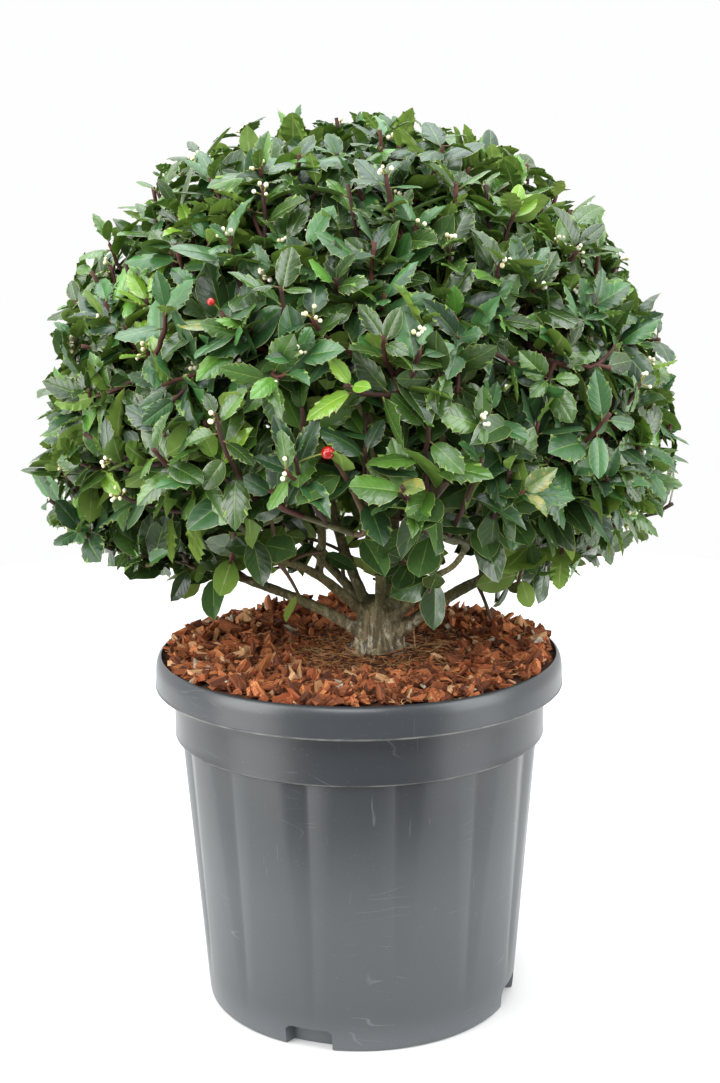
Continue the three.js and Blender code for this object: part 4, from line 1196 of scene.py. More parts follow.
def chip_meshes(rng, places, lengths):
    """Angular flakes of bark, one for each place, as (points, triangles, places along each flake)."""
    count, sides = len(places), CHIP_SIDES
    frames = turned_frames(rng, count, CHIP_TILT)
    shift = rng.uniform(-CHIP_CORNER_SHIFT, CHIP_CORNER_SHIFT, (count, sides))
    angles = circle(sides) + shift
    reach = rng.uniform(*CHIP_CORNER_REACH, (count, sides))
    slim = rng.uniform(*CHIP_BREADTH, (count, 1))
    thick = lengths[:, None] * rng.uniform(*CHIP_THICKNESS, (count, 1))
    half = lengths[:, None] / 2
    x, y = half * reach * np.cos(angles), half * slim * reach * np.sin(angles)
    bend = rng.uniform(-CHIP_BEND, CHIP_BEND, (count, 1)) * x**2 / half
    top = np.stack([x, y, bend + thick / 2 * rng.uniform(*CHIP_UNEVEN, (count, sides))], -1)
    smaller = rng.uniform(*CHIP_UNDERSIDE, (count, sides))
    below = bend - thick / 2 * rng.uniform(*CHIP_UNEVEN, (count, sides))
    local = np.concatenate([top, np.stack([x * smaller, y * smaller, below], -1)], 1)
    points = np.einsum("nki,nij->nkj", local, frames) + places[:, None, :]
    one = [(0, k, k + 1) for k in range(1, sides - 1)]
    one += [(sides, sides + k + 1, sides + k) for k in range(1, sides - 1)]
    for k in range(sides):
        after = (k + 1) % sides
        one += [(k, sides + k, sides + after), (k, sides + after, after)]
    faces = np.array(one)[None] + (np.arange(count) * 2 * sides)[:, None, None]
    own = local + rng.uniform(0, CHIP_GRAINS, (count, 1, 1))
    return points.reshape(-1, 3), faces.reshape(-1, 3), own.reshape(-1, 3)


def fibre_mesh(rng, place, length, radius):
    """A thin bent strand that lies about a place."""
    heading = rng.uniform(0, 360)
    way = np.array(direction(heading, rng.uniform(-FIBRE_TILT, FIBRE_TILT)))
    aside = np.array(direction(heading + 90, rng.uniform(-FIBRE_TILT, FIBRE_TILT)))
    t = np.linspace(-0.5, 0.5, len(FIBRE_TAPER))[:, None]
    bend = rng.uniform(-FIBRE_BEND, FIBRE_BEND) * length
    points = place + way * t * length + aside * bend * (t**2 - FIBRE_MIDDLE)
    points = points + UP_ROW * abs(bend) * FIBRE_ARCH * (0.25 - t**2)
    return tube(points, radius * FIBRE_TAPER, 3)


def scatter(rng, count, most, near=0.0):
    """Places spread evenly over the bed, clear of the trunk. A share of them can lie near the trunk."""
    places = []
    while len(places) < count:
        is_near = rng.uniform() < near
        radius = math.sqrt(rng.uniform(0, (NEAR_TRUNK if is_near else most) ** 2))
        azimuth = rng.uniform(0, 2 * math.pi)
        x = radius * math.cos(azimuth) + (TRUNK_X if is_near else 0)
        y = radius * math.sin(azimuth)
        if math.hypot(x - TRUNK_X, y) > TRUNK_CLEARANCE:
            places.append((x, y, float(bed_surface(np.array(x), np.array(y)))))
    return np.array(places)


def make_chips():
    for name, dark, light, share, offset in CHIP_KINDS:
        rng = seeded(offset)
        count = int(CHIPS * share)
        places = scatter(rng, count, BED_RADIUS - CHIP_MARGIN)
        away = np.hypot(places[:, 0] - TRUNK_X, places[:, 1])
        coarse = smoothstep(away, *CHIP_COARSE)
        lengths = rng.uniform(*CHIP_FINE, count) + coarse * (CHIP_MORE + rng.gamma(*CHIP_MORE_SPREAD, count))
        lengths = np.minimum(lengths, CHIP_LONGEST)
        places[:, 2] += rng.uniform(*CHIP_LIFT, count) * (CHIP_LIFT_NEAR + (1 - CHIP_LIFT_NEAR) * coarse)
        for kind, pixel, size in CHIPS_SEEN:
            if kind == name:
                place = seen_at_height(pixel, BED_HEIGHT + CHIP_SEEN_LIFT)
                places = np.concatenate([places, [[*place]]])
                lengths = np.append(lengths, size)
        points, faces, own = chip_meshes(rng, places, lengths)
        batch = Batch()
        batch.add(keep_in_pot(points), faces, blades=own)
        batch.piece(name, [bark_chip(name, dark, light)], "mulch", crease=CHIP_CREASE)


def keep_in_pot(points):
    """Points moved inwards where they would stand in the pot's wall."""
    points = np.array(points)
    radius = np.hypot(points[:, 0], points[:, 1])
    held = points[:, 2] < POT_HEIGHT + 1
    most = RIM_RADIUS - RIM_WALL - WALL_GAP
    outside = held & (radius > most)
    scale = np.where(outside, most / np.where(outside, radius, 1.0), 1.0)
    points[:, :2] *= scale[:, None]
    return points


def make_fibres():
    for name, dark, light, share, offset, lengths, radius in FIBRE_KINDS:
        rng = seeded(offset)
        places = scatter(rng, int(FIBRES * share), BED_RADIUS - FIBRE_MARGIN, FIBRES_NEAR_TRUNK)
        batch = Batch()
        for place in places:
            away = math.hypot(place[0] - TRUNK_X, place[1]) - TRUNK_RADIUS
            near = max(0, 1 - away / FIBRE_HEAP[0])
            place = place + UP_ROW * (rng.uniform(*FIBRE_LIFT) + FIBRE_HEAP[1] * near * rng.uniform())
            length = rng.uniform(*lengths)
            points, faces = fibre_mesh(rng, place, length, radius * rng.uniform(*FIBRE_THICKNESS))
            batch.add(keep_in_pot(points), faces)
        if name == "fibres_straw":
            batch.add(*hanging_thread())
        batch.piece(name, [fibre(name, dark, light)], "mulch")


def hanging_thread():
    """The pale thread that hangs from a limb on to the bed in front of the trunk."""
    low = seen_at_height(THREAD_SEEN, BED_HEIGHT + THREAD_FOOT)
    high = Vector((low.x + THREAD_TOP[0], low.y + THREAD_TOP[1], BED_HEIGHT + THREAD_TOP[2]))
    path = bezier([high, high + THREAD_BENDS[0], low + THREAD_BENDS[1], low], 12)
    return tube(path, THREAD_RADIUS, 4)


# ---- trunk, limbs and the way they branch


def trunk_centre(height):
    share = (height - TRUNK_FOOT) / (TRUNK_TOP - TRUNK_FOOT)
    return Vector((TRUNK_X + TRUNK_LEAN * share, 0, height))


def trunk_mesh():
    points = []
    for ring in range(TRUNK_RINGS):
        share = ring / (TRUNK_RINGS - 1)
        height = TRUNK_FOOT + (TRUNK_TOP - TRUNK_FOOT) * share
        flare = math.exp(-(height - TRUNK_FOOT) / TRUNK_FLARE_HEIGHT)
        shoulder = max(0, (share - TRUNK_SHOULDER) / (1 - TRUNK_SHOULDER))
        taper = TRUNK_CROWN_SHARE + (1 - TRUNK_CROWN_SHARE) * math.sqrt(1 - shoulder**2)
        depth = TRUNK_LOBE_DEPTH + TRUNK_FOOT_LOBE_DEPTH * flare
        centre = trunk_centre(height)
        for side in range(TRUNK_SIDES):
            angle = 2 * math.pi * side / TRUNK_SIDES
            lobe = 1 + depth * math.cos(TRUNK_LOBES * angle + TRUNK_LOBE_TURN)
            radius = (TRUNK_RADIUS + TRUNK_FLARE * flare) * taper * lobe
            points.append(centre + radius * Vector((math.cos(angle), math.sin(angle), 0)))
    return np.array(points), tube_faces(TRUNK_RINGS, TRUNK_SIDES)


class Mass:
    """One mass of the crown: where it is, its limb, and how its stem, twigs and shoots run."""

    def __init__(self, place, ring, azimuth, half):
        self.place, self.azimuth, self.half = place, azimuth, half
        self.top, self.bottom = ring[0], ring[1]
        self.polar = (self.top + self.bottom) / 2

    def turn(self, azimuth):
        return (azimuth - self.azimuth + 180) % 360 - 180

    def ends(self, count):
        """This mass's share of points spread evenly over the crown, as (azimuth, polar)."""
        lowest = math.cos(math.radians(CROWN_LOWEST_POLAR))
        found = []
        for shoot in range(count):
            polar = math.degrees(math.acos(1 - (shoot + 0.5) / count * (1 - lowest)))
            turn = self.turn(shoot * GOLDEN_ANGLE)
            if self.top <= polar < self.bottom and abs(turn) <= self.half:
                found.append((turn, polar))
        return [(self.azimuth + turn, polar) for turn, polar in sorted(found)]


def list_masses():
    masses = []
    for ring in RINGS:
        places = ring[3]
        for index, place in enumerate(places):
            azimuth = ring[2] + 360 / len(places) * index
            masses.append(Mass(place, ring, azimuth, 180 / len(places)))
    return masses


def limb_ends(place, curves):
    """The four control points of a limb's curve."""
    _, side, height, heading, rise, tip = LIMBS[place]
    if place in LIMB_PARENT:
        parent = bezier(curves[LIMB_PARENT[place]], PARENT_POINTS)
        start = Vector(parent[round(height * (PARENT_POINTS - 1))])
    else:
        start = trunk_centre(height) + LIMB_ROOT_SHARE * TRUNK_RADIUS * direction(side, 0)
    tip_azimuth, tip_distance, tip_height, tip_rise = tip
    end = tip_distance * direction(tip_azimuth, 0)
    end.z = tip_height
    pull = LIMB_PULL * (end - start).length
    leaving = start + pull * direction(heading, rise)
    arriving = end - pull * direction(tip_azimuth, tip_rise)
    return [start, leaving, arriving, end]


def nearest(point, candidates):
    distances = [(point - candidate).length for candidate in candidates]
    return int(np.argmin(distances))


class Sprig:
    """A leafy shoot: its path, the way out of the crown, its radii at both ends, and how many leaves."""

    def __init__(self, path, outward, radii, leaves):
        self.path, self.outward, self.radii, self.leaves = path, outward, radii, leaves
        self.least = 0  # points that stay, because a side shoot grows from them

    def reach(self):
        """How far along the path each of its points is."""
        steps = np.linalg.norm(np.diff(self.path, axis=0), axis=1)
        return np.concatenate([[0], np.cumsum(steps)])

    def clip(self, places):
        """Cuts off the bare end beyond the outermost leaf, all but a short stub."""
        stub = between(STUB, topness(self.outward.z))
        needed = int(np.searchsorted(self.reach(), max(places) + stub)) + 1 if places else 0
        self.path = self.path[: max(needed, self.least)]


class Crown:
    """The whole branching, from the limbs' roots to the sprigs' ends."""

    def __init__(self):
        self.curves = {}
        self.limbs, self.twigs, self.shoots, self.sprigs = [], [], [], []
        for place in LIMBS:
            self.curves[place] = limb_ends(place, self.curves)
        for index, mass in enumerate(list_masses()):
            self.grow(mass, seeded(MASS_DRAWS + index))
        for index, place in enumerate(LEAFY_LIMBS):
            limb = bezier(self.curves[place], LIMB_POINTS)
            self.grow_low_sprigs(limb, LEAFY_SHARES, seeded(LEAFY_LIMB_DRAWS + index))
        self.young, self.worn = self.seen_sprigs(YOUNG_SEEN), self.seen_sprigs(WORN_SEEN)
        self.views = open_views([self.sprigs[number] for number in sorted(self.young | self.worn)])

    def seen_sprigs(self, pixels):
        """Numbers of the sprigs whose ends are nearest to where the camera sees some pixels."""
        ends = [Vector(sprig.path[-1]) for sprig in self.sprigs]
        return {nearest(seen_on_crown(pixel, CROWN_RADIUS - SEEN_DEPTH), ends) for pixel in pixels}

    def grow(self, mass, rng):
        """A mass: the stem that runs on from its limb, and the stem's twigs, shoots and sprigs."""
        limb = bezier(self.curves[mass.place], LIMB_POINTS)
        radius = LIMBS[mass.place][0]
        start = Vector(limb[-1])
        along = (Vector(limb[-1]) - Vector(limb[-2])).normalized()
        hub = crown_point(mass.azimuth, min(mass.polar, HUB_LOWEST_POLAR), HUB_REACH)
        bend = start + along * STEM_BEND * (hub - start).length
        stem = bezier([start, bend, hub], STEM_POINTS)
        taper = radius * (1 - (1 - LIMB_TIP_SHARE) * np.linspace(0, 1, LIMB_POINTS))
        stem_taper = np.linspace(taper[-1], TWIG_RADIUS, STEM_POINTS)[1:]
        self.limbs.append((np.concatenate([limb, stem[1:]]), np.concatenate([taper, stem_taper])))

        wood = []
        ends = mass.ends(SHOOTS)
        groups = [ends[first : first + SHOOTS_PER_TWIG] for first in range(0, len(ends), SHOOTS_PER_TWIG)]
        for number, group in enumerate(groups):
            share = TWIGS_FROM + (1 - TWIGS_FROM) * (number + 1) / len(groups)
            root = Vector(stem[round(share * (STEM_POINTS - 1))])
            self.grow_twig(root, along, group, wood, rng)
        self.grow_sprigs(mass, np.array(wood), rng)
        if mass.bottom == CROWN_LOWEST_POLAR:
            self.grow_low_sprigs(limb, LOW_SHARES, rng)

    @staticmethod
    def shoot_end(azimuth, polar):
        return crown_point(azimuth, polar, crown_reach(polar) - SHOOT_DEPTH)

    def grow_twig(self, root, along, group, wood, rng):
        """A twig and its main shoots, where the crown isn't open. Their points are added to the wood."""
        kept = [pair for pair in group if openness(self.shoot_end(*pair)) < SHOOT_BARE]
        if not kept:
            return
        middle = sum((crown_point(*pair, 1) - CROWN_CENTRE for pair in group), Vector())
        fork = CROWN_CENTRE + middle.normalized() * FORK_REACH
        pull = root + along * TWIG_BEND * (fork - root).length
        twig = bezier([root, pull + astray(rng, TWIG_STRAY), fork], TWIG_POINTS)
        self.twigs.append((twig, np.linspace(TWIG_RADIUS, TWIG_RADIUS * TWIG_TAPER, TWIG_POINTS)))
        wood.extend(twig[TWIG_BARE_POINTS:])
        for pair in kept:
            end = self.shoot_end(*pair)
            lead = fork + (fork - pull).normalized() * SHOOT_BEND * (end - fork).length
            path = bezier([fork, lead + astray(rng, SHOOT_STRAY), end], SHOOT_POINTS)
            self.shoots.append((path, np.linspace(SHOOT_RADIUS, SPRIG_RADIUS[0], SHOOT_POINTS)))
            wood.extend(path)

    def grow_low_sprigs(self, limb, shares, rng):
        """Short sprigs that stand on a limb between the trunk and the crown."""
        for share in rng.uniform(*shares, LOW_SPRIGS):
            root = Vector(limb[round(share * (len(limb) - 1))])
            outward = Vector((root.x - TRUNK_X, root.y, 0)).normalized()
            way = (outward * LOW_WAY + UP * LOW_WAY + astray(rng, LOW_STRAY)).normalized()
            length = rng.uniform(*LOW_LENGTH)
            bend = root + way * LOW_BEND * length + UP * LOW_LIFT
            path = bezier([root, bend, root + way * length], LOW_POINTS)
            self.sprigs.append(Sprig(path, outward, LOW_RADIUS, int(rng.integers(*LOW_LEAVES))))

    def grow_sprigs(self, mass, wood, rng):
        """Sprigs that leave the mass's wood, swing outwards and turn up, some with a side shoot."""
        taken = np.zeros(len(wood))
        for azimuth, polar in mass.ends(SPRIGS):
            polar = min(abs(polar + rng.normal(0, SPRIG_SCATTER[1])), CROWN_LOWEST_POLAR)
            long_share = LONG_SPRIGS + LONG_ON_TOP * topness(math.cos(math.radians(polar)))
            is_long = rng.uniform() <= long_share
            reach = crown_reach(polar) - rng.uniform(*(LONG_DEPTH if is_long else SPRIG_DEPTH))
            end = crown_point(azimuth + rng.normal(0, SPRIG_SCATTER[0]), polar, reach)
            gap = openness(end)
            if gap > OPEN_GAP or rng.uniform() < GAP_SHARE * gap:
                continue
            outward = (end - CROWN_CENTRE).normalized()
            path = self.sprig_path(end, outward, wood, taken, rng)
            self.sprigs.append(Sprig(path, outward, SPRIG_RADIUS, rng.integers(*SPRIG_LEAVES)))
            if rng.uniform() <= SPRIG_FORKS:
                self.grow_fork(self.sprigs[-1], rng)

    @staticmethod
    def sprig_path(end, outward, wood, taken, rng):
        """A sprig's way to its end, from a point of the wood that lies well and is little taken."""
        way = (outward * SPRIG_OUT + UP * SPRIG_RISE + astray(rng, SPRIG_STRAY)).normalized()
        wished = end - way * rng.uniform(*SPRIG_LENGTH)
        gaps = np.linalg.norm(wood - np.array(wished), axis=1)
        spans = np.linalg.norm(wood - np.array(end), axis=1)
        overlong = np.maximum(0, spans - SPRIG_LENGTH[1])
        choice = np.argmin(gaps + CROWDING * taken + OVERLONG * overlong)
        taken[choice] += 1
        root = Vector(wood[choice])
        length = (end - root).length
        climb = float(smoothstep((end.z - root.z) / length, *SPRIG_CLIMB))
        way = ((end - root) / length * (SPRIG_STRAIGHT - climb) + way * climb).normalized()
        path = bezier([root, end - way * SPRIG_BEND * length, end], SPRIG_POINTS)
        path[1:-1] += rng.normal(0, SPRIG_WOBBLE, (SPRIG_POINTS - 2, 3))
        return path

    def grow_fork(self, sprig, rng):
        """A side shoot of a sprig, shortened until it stays in the crown, and left out if it gets short."""
        at = rng.integers(*FORK_AT)
        root = Vector(sprig.path[at])
        heading = Vector(sprig.path[at + 1] - sprig.path[at]).normalized()
        aside = heading.cross(astray(rng, 1)).normalized()
        way = (heading * FORK_WAY[0] + aside * FORK_WAY[1] + UP * FORK_WAY[2]).normalized()
        length = rng.uniform(*FORK_LENGTH)
        tip = root + way * length + UP * FORK_LIFT
        while overshoot(tip) > -SPRIG_DEPTH[0] and length > FORK_STUB:
            length -= FORK_STEP
            tip = root + way * length + UP * FORK_LIFT
        if length > FORK_LEAST:
            lead = root + way * length * FORK_BEND - UP * FORK_SAG
            path = bezier([root, lead, tip], FORK_POINTS)
            sprig.least = at + 1
            self.sprigs.append(Sprig(path, sprig.outward, FORK_RADIUS, rng.integers(*FORK_LEAVES)))


def topness(rise):
    """1 on the crown's clipped top and 0 on its sides, for the upward part of a direction."""
    return smoothstep(rise, *CLIPPED_TOP)


def openness(point):
    """The share of leaves missing at a place, for the thin underside and the gap before the trunk."""
    outward = math.hypot(point.x, point.y)
    above = point.z - (UNDERSIDE_HEIGHT + UNDERSIDE_SLOPE * (outward - UNDERSIDE_RADIUS))
    front = smoothstep(-point.y / max(outward, 1), *OPEN_FRONT)
    low = 1 - smoothstep(above, between(OPEN_FROM, front), between(OPEN_TO, front))
    return low * between(OPEN_SHARES, front)


def make_wood(crown):
    """The trunk and limbs as one skin with the bark's relief."""
    batch = Batch()
    batch.add(*trunk_mesh())
    for path, radii in crown.limbs:
        batch.add(*tube(path, radii, LIMB_SIDES))
    rng = seeded(ROOT_DRAWS)
    for root in range(ROOTS):
        way = direction(ROOT_AZIMUTH + 360 / ROOTS * root + rng.uniform(-ROOT_STRAY, ROOT_STRAY), 0)
        foot = trunk_centre(TRUNK_FOOT + ROOT_RISE) + way * ROOT_START * TRUNK_RADIUS
        end = trunk_centre(BED_HEIGHT - ROOT_SINK) + way * rng.uniform(*ROOT_REACH)
        path = bezier([foot, (foot + end) / 2 - UP * ROOT_SINK, end], ROOT_POINTS)
        batch.add(*tube(path, np.linspace(*ROOT_RADIUS, ROOT_POINTS), ROOT_SIDES))
    piece = batch.piece("trunk_and_boughs", [shrub_bark()], "trunk_bark", replaced=["trunk", *LIMB_NODES])
    remesh = piece.modifiers.new("skin", "REMESH")
    remesh.mode = "VOXEL"
    remesh.voxel_size = BARK_VOXEL * MM
    remesh.use_smooth_shade = True
    even = piece.modifiers.new("even", "SMOOTH")
    even.factor, even.iterations = BARK_SMOOTHING
    apply_modifiers(piece)
    roughen(piece)


def apply_modifiers(piece):
    dependencies = bpy.context.evaluated_depsgraph_get()
    mesh = bpy.data.meshes.new_from_object(piece.evaluated_get(dependencies))
    old = piece.data
    piece.modifiers.clear()
    piece.data = mesh
    bpy.data.meshes.remove(old)


def roughen(piece):
    """Moves the skin in and out along its normals: lumps, furrows that run up the trunk, and fine grain."""
    mesh = piece.data
    places = np.empty(len(mesh.vertices) * 3)
    normals = np.empty(len(mesh.vertices) * 3)
    mesh.vertices.foreach_get("co", places)
    mesh.vertex_normals.foreach_get("vector", normals)
    places, normals = places.reshape(-1, 3), normals.reshape(-1, 3)
    depths = [bark_relief(*place) for place in (places / MM).tolist()]
    places += normals * np.array(depths)[:, None] * MM
    mesh.vertices.foreach_set("co", places.ravel())
    mesh.update()


def bark_relief(x, y, z):
    """How far the bark stands out at a place. Its furrows are deeper at the foot."""

    def layer(depth, breadth, height):
        return depth * noise.noise((x / breadth, y / breadth, z / height))

    old = 1 - min(1, max(0, (z - OLD_FURROWS_TOP) / OLD_FURROWS_FADE))
    furrow_depth = FURROW_DEPTH + OLD_FURROW_DEPTH * old
    return layer(*BARK_LUMPS) + layer(furrow_depth, *BARK_FURROWS) + layer(*BARK_GRAIN)


def make_twigs(crown):
    """The twigs that carry the leaves: older ones olive, low ones brown, and the outer ones red-brown."""
    older, low, outer = Batch(), Batch(), Batch()
    for path, radii in crown.twigs:
        older.add(*tube(path, radii, TWIG_SIDES))
    for path, radii in crown.shoots:
        low.add(*tube(path, radii, SPRIG_SIDES))
    rng = seeded(TWIG_DRAWS)
    for sprig in crown.sprigs:
        knobs = rng.uniform(*SPRIG_KNOBS, len(sprig.path))
        batch = outer if sprig.path[0][2] > BROWN_BELOW else low
        batch.add(*tube(sprig.path, np.linspace(*sprig.radii, len(sprig.path)) * knobs, SPRIG_SIDES))
    for batch, (name, *look) in zip((older, low, outer), TWIG_LOOKS):
        batch.piece(name, [twig_bark(*look)], "bough_bark")


# ---- leaves


def zipped(a, a_at, b, b_at, flip):
    """Triangles between two lines of point numbers, by their places along the blade."""
    faces = []
    i = j = 0
    while i + 1 < len(a) or j + 1 < len(b):
        step_a = j + 1 >= len(b) or (i + 1 < len(a) and a_at[i + 1] <= b_at[j + 1])
        if step_a:
            faces.append((a[i], a[i + 1], b[j]))
            i += 1
        else:
            faces.append((a[i], b[j + 1], b[j]))
            j += 1
    faces = [face for face in faces if len(set(face)) == 3]
    return [face[::-1] for face in faces] if flip else faces


def edge_marks(teeth, fine):
    """The points along an edge: (place where the width is taken, the point's own place, way outwards)."""
    if not teeth:
        count = SMOOTH_EDGE_POINTS[0 if fine else 1]
        return [(t, t, 0.0) for t in np.linspace(*SMOOTH_EDGE, count)]
    marks = list(EDGE_START)
    tooth = TOOTH if fine else [SPINE_TIP]
    for number in range(teeth):
        middle = TEETH_FROM + TEETH_SPAN * (number + 0.5) / teeth
        marks += [(middle + width_at, middle + at, out) for width_at, at, out in tooth]
    return marks + EDGE_END


class LeafShape:
    """A spiny holly blade of unit length: x across, y along, z up from its face."""

    def __init__(self, teeth, width, fold, roll, curl, wave, taper, fine):
        self.width, self.fold, self.roll, self.curl, self.taper = width, fold, roll, curl, taper
        points, flags, blades = [], [], []

        def add(x, y, z, flag, u):
            points.append((x, y, self.rise(x, y) + z))
            flags.append(flag)
            blades.append((u, y, 0))
            return len(points) - 1

        base = add(0, 0, 0, EDGE | RIB, 0)
        tip = add(0, 1, 0, EDGE | RIB, 0)
        stations = FINE_STATIONS if fine else COARSE_STATIONS
        rib_top = [base, *(add(0, t, 0, RIB, 0) for t in stations), tip]
        rib_low = [base, *(add(0, t, -LEAF_THICKNESS, 0, 0) for t in stations), tip]
        rib_at = [0, *stations, 1]
        upper, lower = [], []
        for side in (-1, 1):
            edge, edge_at = [base], [0]
            for number, (t, at, out) in enumerate(edge_marks(teeth, fine)):
                lift = wave * (1 if number % 4 < 2 else -1) * min(1, 4 * t * (1 - t))
                edge.append(add(side * (self.half_width(t) + out), at, lift, EDGE, side))
                edge_at.append(at)
            edge.append(tip)
            edge_at.append(1)
            lower += zipped(edge, edge_at, rib_low, rib_at, side < 0)
            if fine:
                share, mark, lift = HALF_LINE
                half = [add(side * share * self.half_width(t), t, lift, 0, side * mark) for t in stations]
                line = [base, *half, tip]
                upper += zipped(edge, edge_at, line, rib_at, side > 0)
                upper += zipped(line, rib_at, rib_top, rib_at, side > 0)
            else:
                upper += zipped(edge, edge_at, rib_top, rib_at, side > 0)
        self.points = np.array(points)
        self.faces = np.array(upper + lower)
        self.slots = np.array([0] * len(upper) + [1] * len(lower))
        self.flags = np.array(flags)
        self.blades = np.array(blades)

    def half_width(self, t):
        """Half the blade's width. A larger taper moves its widest place back and sharpens its tip."""
        widest = LEAF_SWELL / (LEAF_SWELL + self.taper)
        most = widest**LEAF_SWELL * (1 - widest) ** self.taper
        return self.width / 2 * t**LEAF_SWELL * (1 - t) ** self.taper / most

    def rise(self, x, y):
        return self.fold * abs(x) - self.roll * x * x / self.width - self.curl * y * y


class LeafKind:
    """Leaves of one colour kind, collected shape by shape."""

    def __init__(self, fine):
        self.shapes = [LeafShape(*shape, fine) for shape in LEAF_SHAPES]
        self.rows = [[] for _ in self.shapes]

    def add(self, shape, base, axis, face, length, breadth):
        across = axis.cross(face).normalized()
        facing = across.cross(axis).normalized()
        self.rows[shape].append((*base, *(across * breadth), *axis, *facing, length))

    def batch(self):
        batch = Batch()
        for shape, rows in zip(self.shapes, self.rows):
            if not rows:
                continue
            count = len(rows)
            base, across, axis, facing, length = np.split(np.array(rows)[:, None], (3, 6, 9, 12), axis=2)
            x, y, z = np.split(shape.points[None], 3, axis=2)
            points = base + length * (x * across + y * axis + z * facing)
            faces = shape.faces[None] + (np.arange(count) * len(shape.points))[:, None, None]
            batch.add(
                points.reshape(-1, 3),
                faces.reshape(-1, 3),
                np.tile(shape.slots, count),
                np.tile(shape.flags, count),
                np.tile(shape.blades, (count, 1)),
            )
        return batch


def open_views(sprigs):
    """Lines of sight that stay open, as (direction, how far from the camera, clear distance)."""
    camera = Vector(CAMERA_PLACE)
    views = [(sight(pixel), math.inf, SKY_VIEW) for pixel in SKY_SEEN]
    for pixel in TRUNK_SEEN:
        views.append((sight(pixel), (trunk_centre(BED_HEIGHT) - camera).length, TRUNK_VIEW))
    for x, y, _ in BERRIES_SEEN:
        far = (seen_on_crown((x, y), CROWN_RADIUS - BERRY_SHELL[1]) - camera).length
        views.append((sight((x, y)), far, BERRY_VIEW))
    for sprig in sprigs:
        span = Vector(sprig.path[-1]) - camera
        views.append((span.normalized(), span.length - SPRIG_VIEW_END, SPRIG_VIEW))
    return views


def blocks_view(views, base, axis, size):
    """Whether a leaf from a base along an axis would stand in an open line of sight."""
    camera = Vector(CAMERA_PLACE)
    for share in LEAF_CHECKS:
        point = base + axis * size * share - camera
        for way, far, clear in views:
            along = point.dot(way)
            if along < far and (point - way * along).length < clear:
                return True
    return False


def make_leaves(crown):
    """The leaves and their stalks. Sprigs are clipped behind their outermost leaf, or left out if bare."""
    kinds = {key: LeafKind(key != "inner") for key in LEAF_LOOKS}
    petioles = Batch()
    for number, sprig in enumerate(crown.sprigs):
        sprig.clip(grow_sprig_leaves(crown, number, seeded(SPRIG_DRAWS + number), kinds, petioles))
    crown.sprigs = [sprig for sprig in crown.sprigs if len(sprig.path) > 2]
    for number, (path, _) in enumerate(crown.shoots + crown.twigs):
        grow_inner_leaves(crown, path, seeded(INNER_DRAWS + number), kinds["inner"])

    under, pale = leaf_under(*LEAF_UNDER_WITH_PAINTED_GLOW), leaf_under(*PALE_UNDER)
    replaced = FOLIAGE_NODES
    for key, (name, tints, special) in LEAF_LOOKS.items():
        materials = [leaf_upper(name, tints, **special), pale if key == "young" else under]
        kinds[key].batch().piece("leaves_" + key, materials, "foliage", replaced=replaced)
        replaced = ()
    petioles.piece("leaf_stalks", [twig_bark(*LEAF_STALK)], "foliage")


def fit_leaf(rng, place, along, around, lean, size, outline):
    """A leaf's (base, axis, size), leaned and shortened until it stays in the crown, or None."""
    for more, scale in LEAF_TRIES:
        angle = math.radians(lean + more)
        axis = along * math.cos(angle) + around * math.sin(angle) + UP * LEAF_LIFT
        axis = (axis + astray(rng, LEAF_STRAY)).normalized()
        base = place + axis * PETIOLE
        if overshoot(base + axis * size * scale) < outline:
            return base, axis, size * scale
    return None


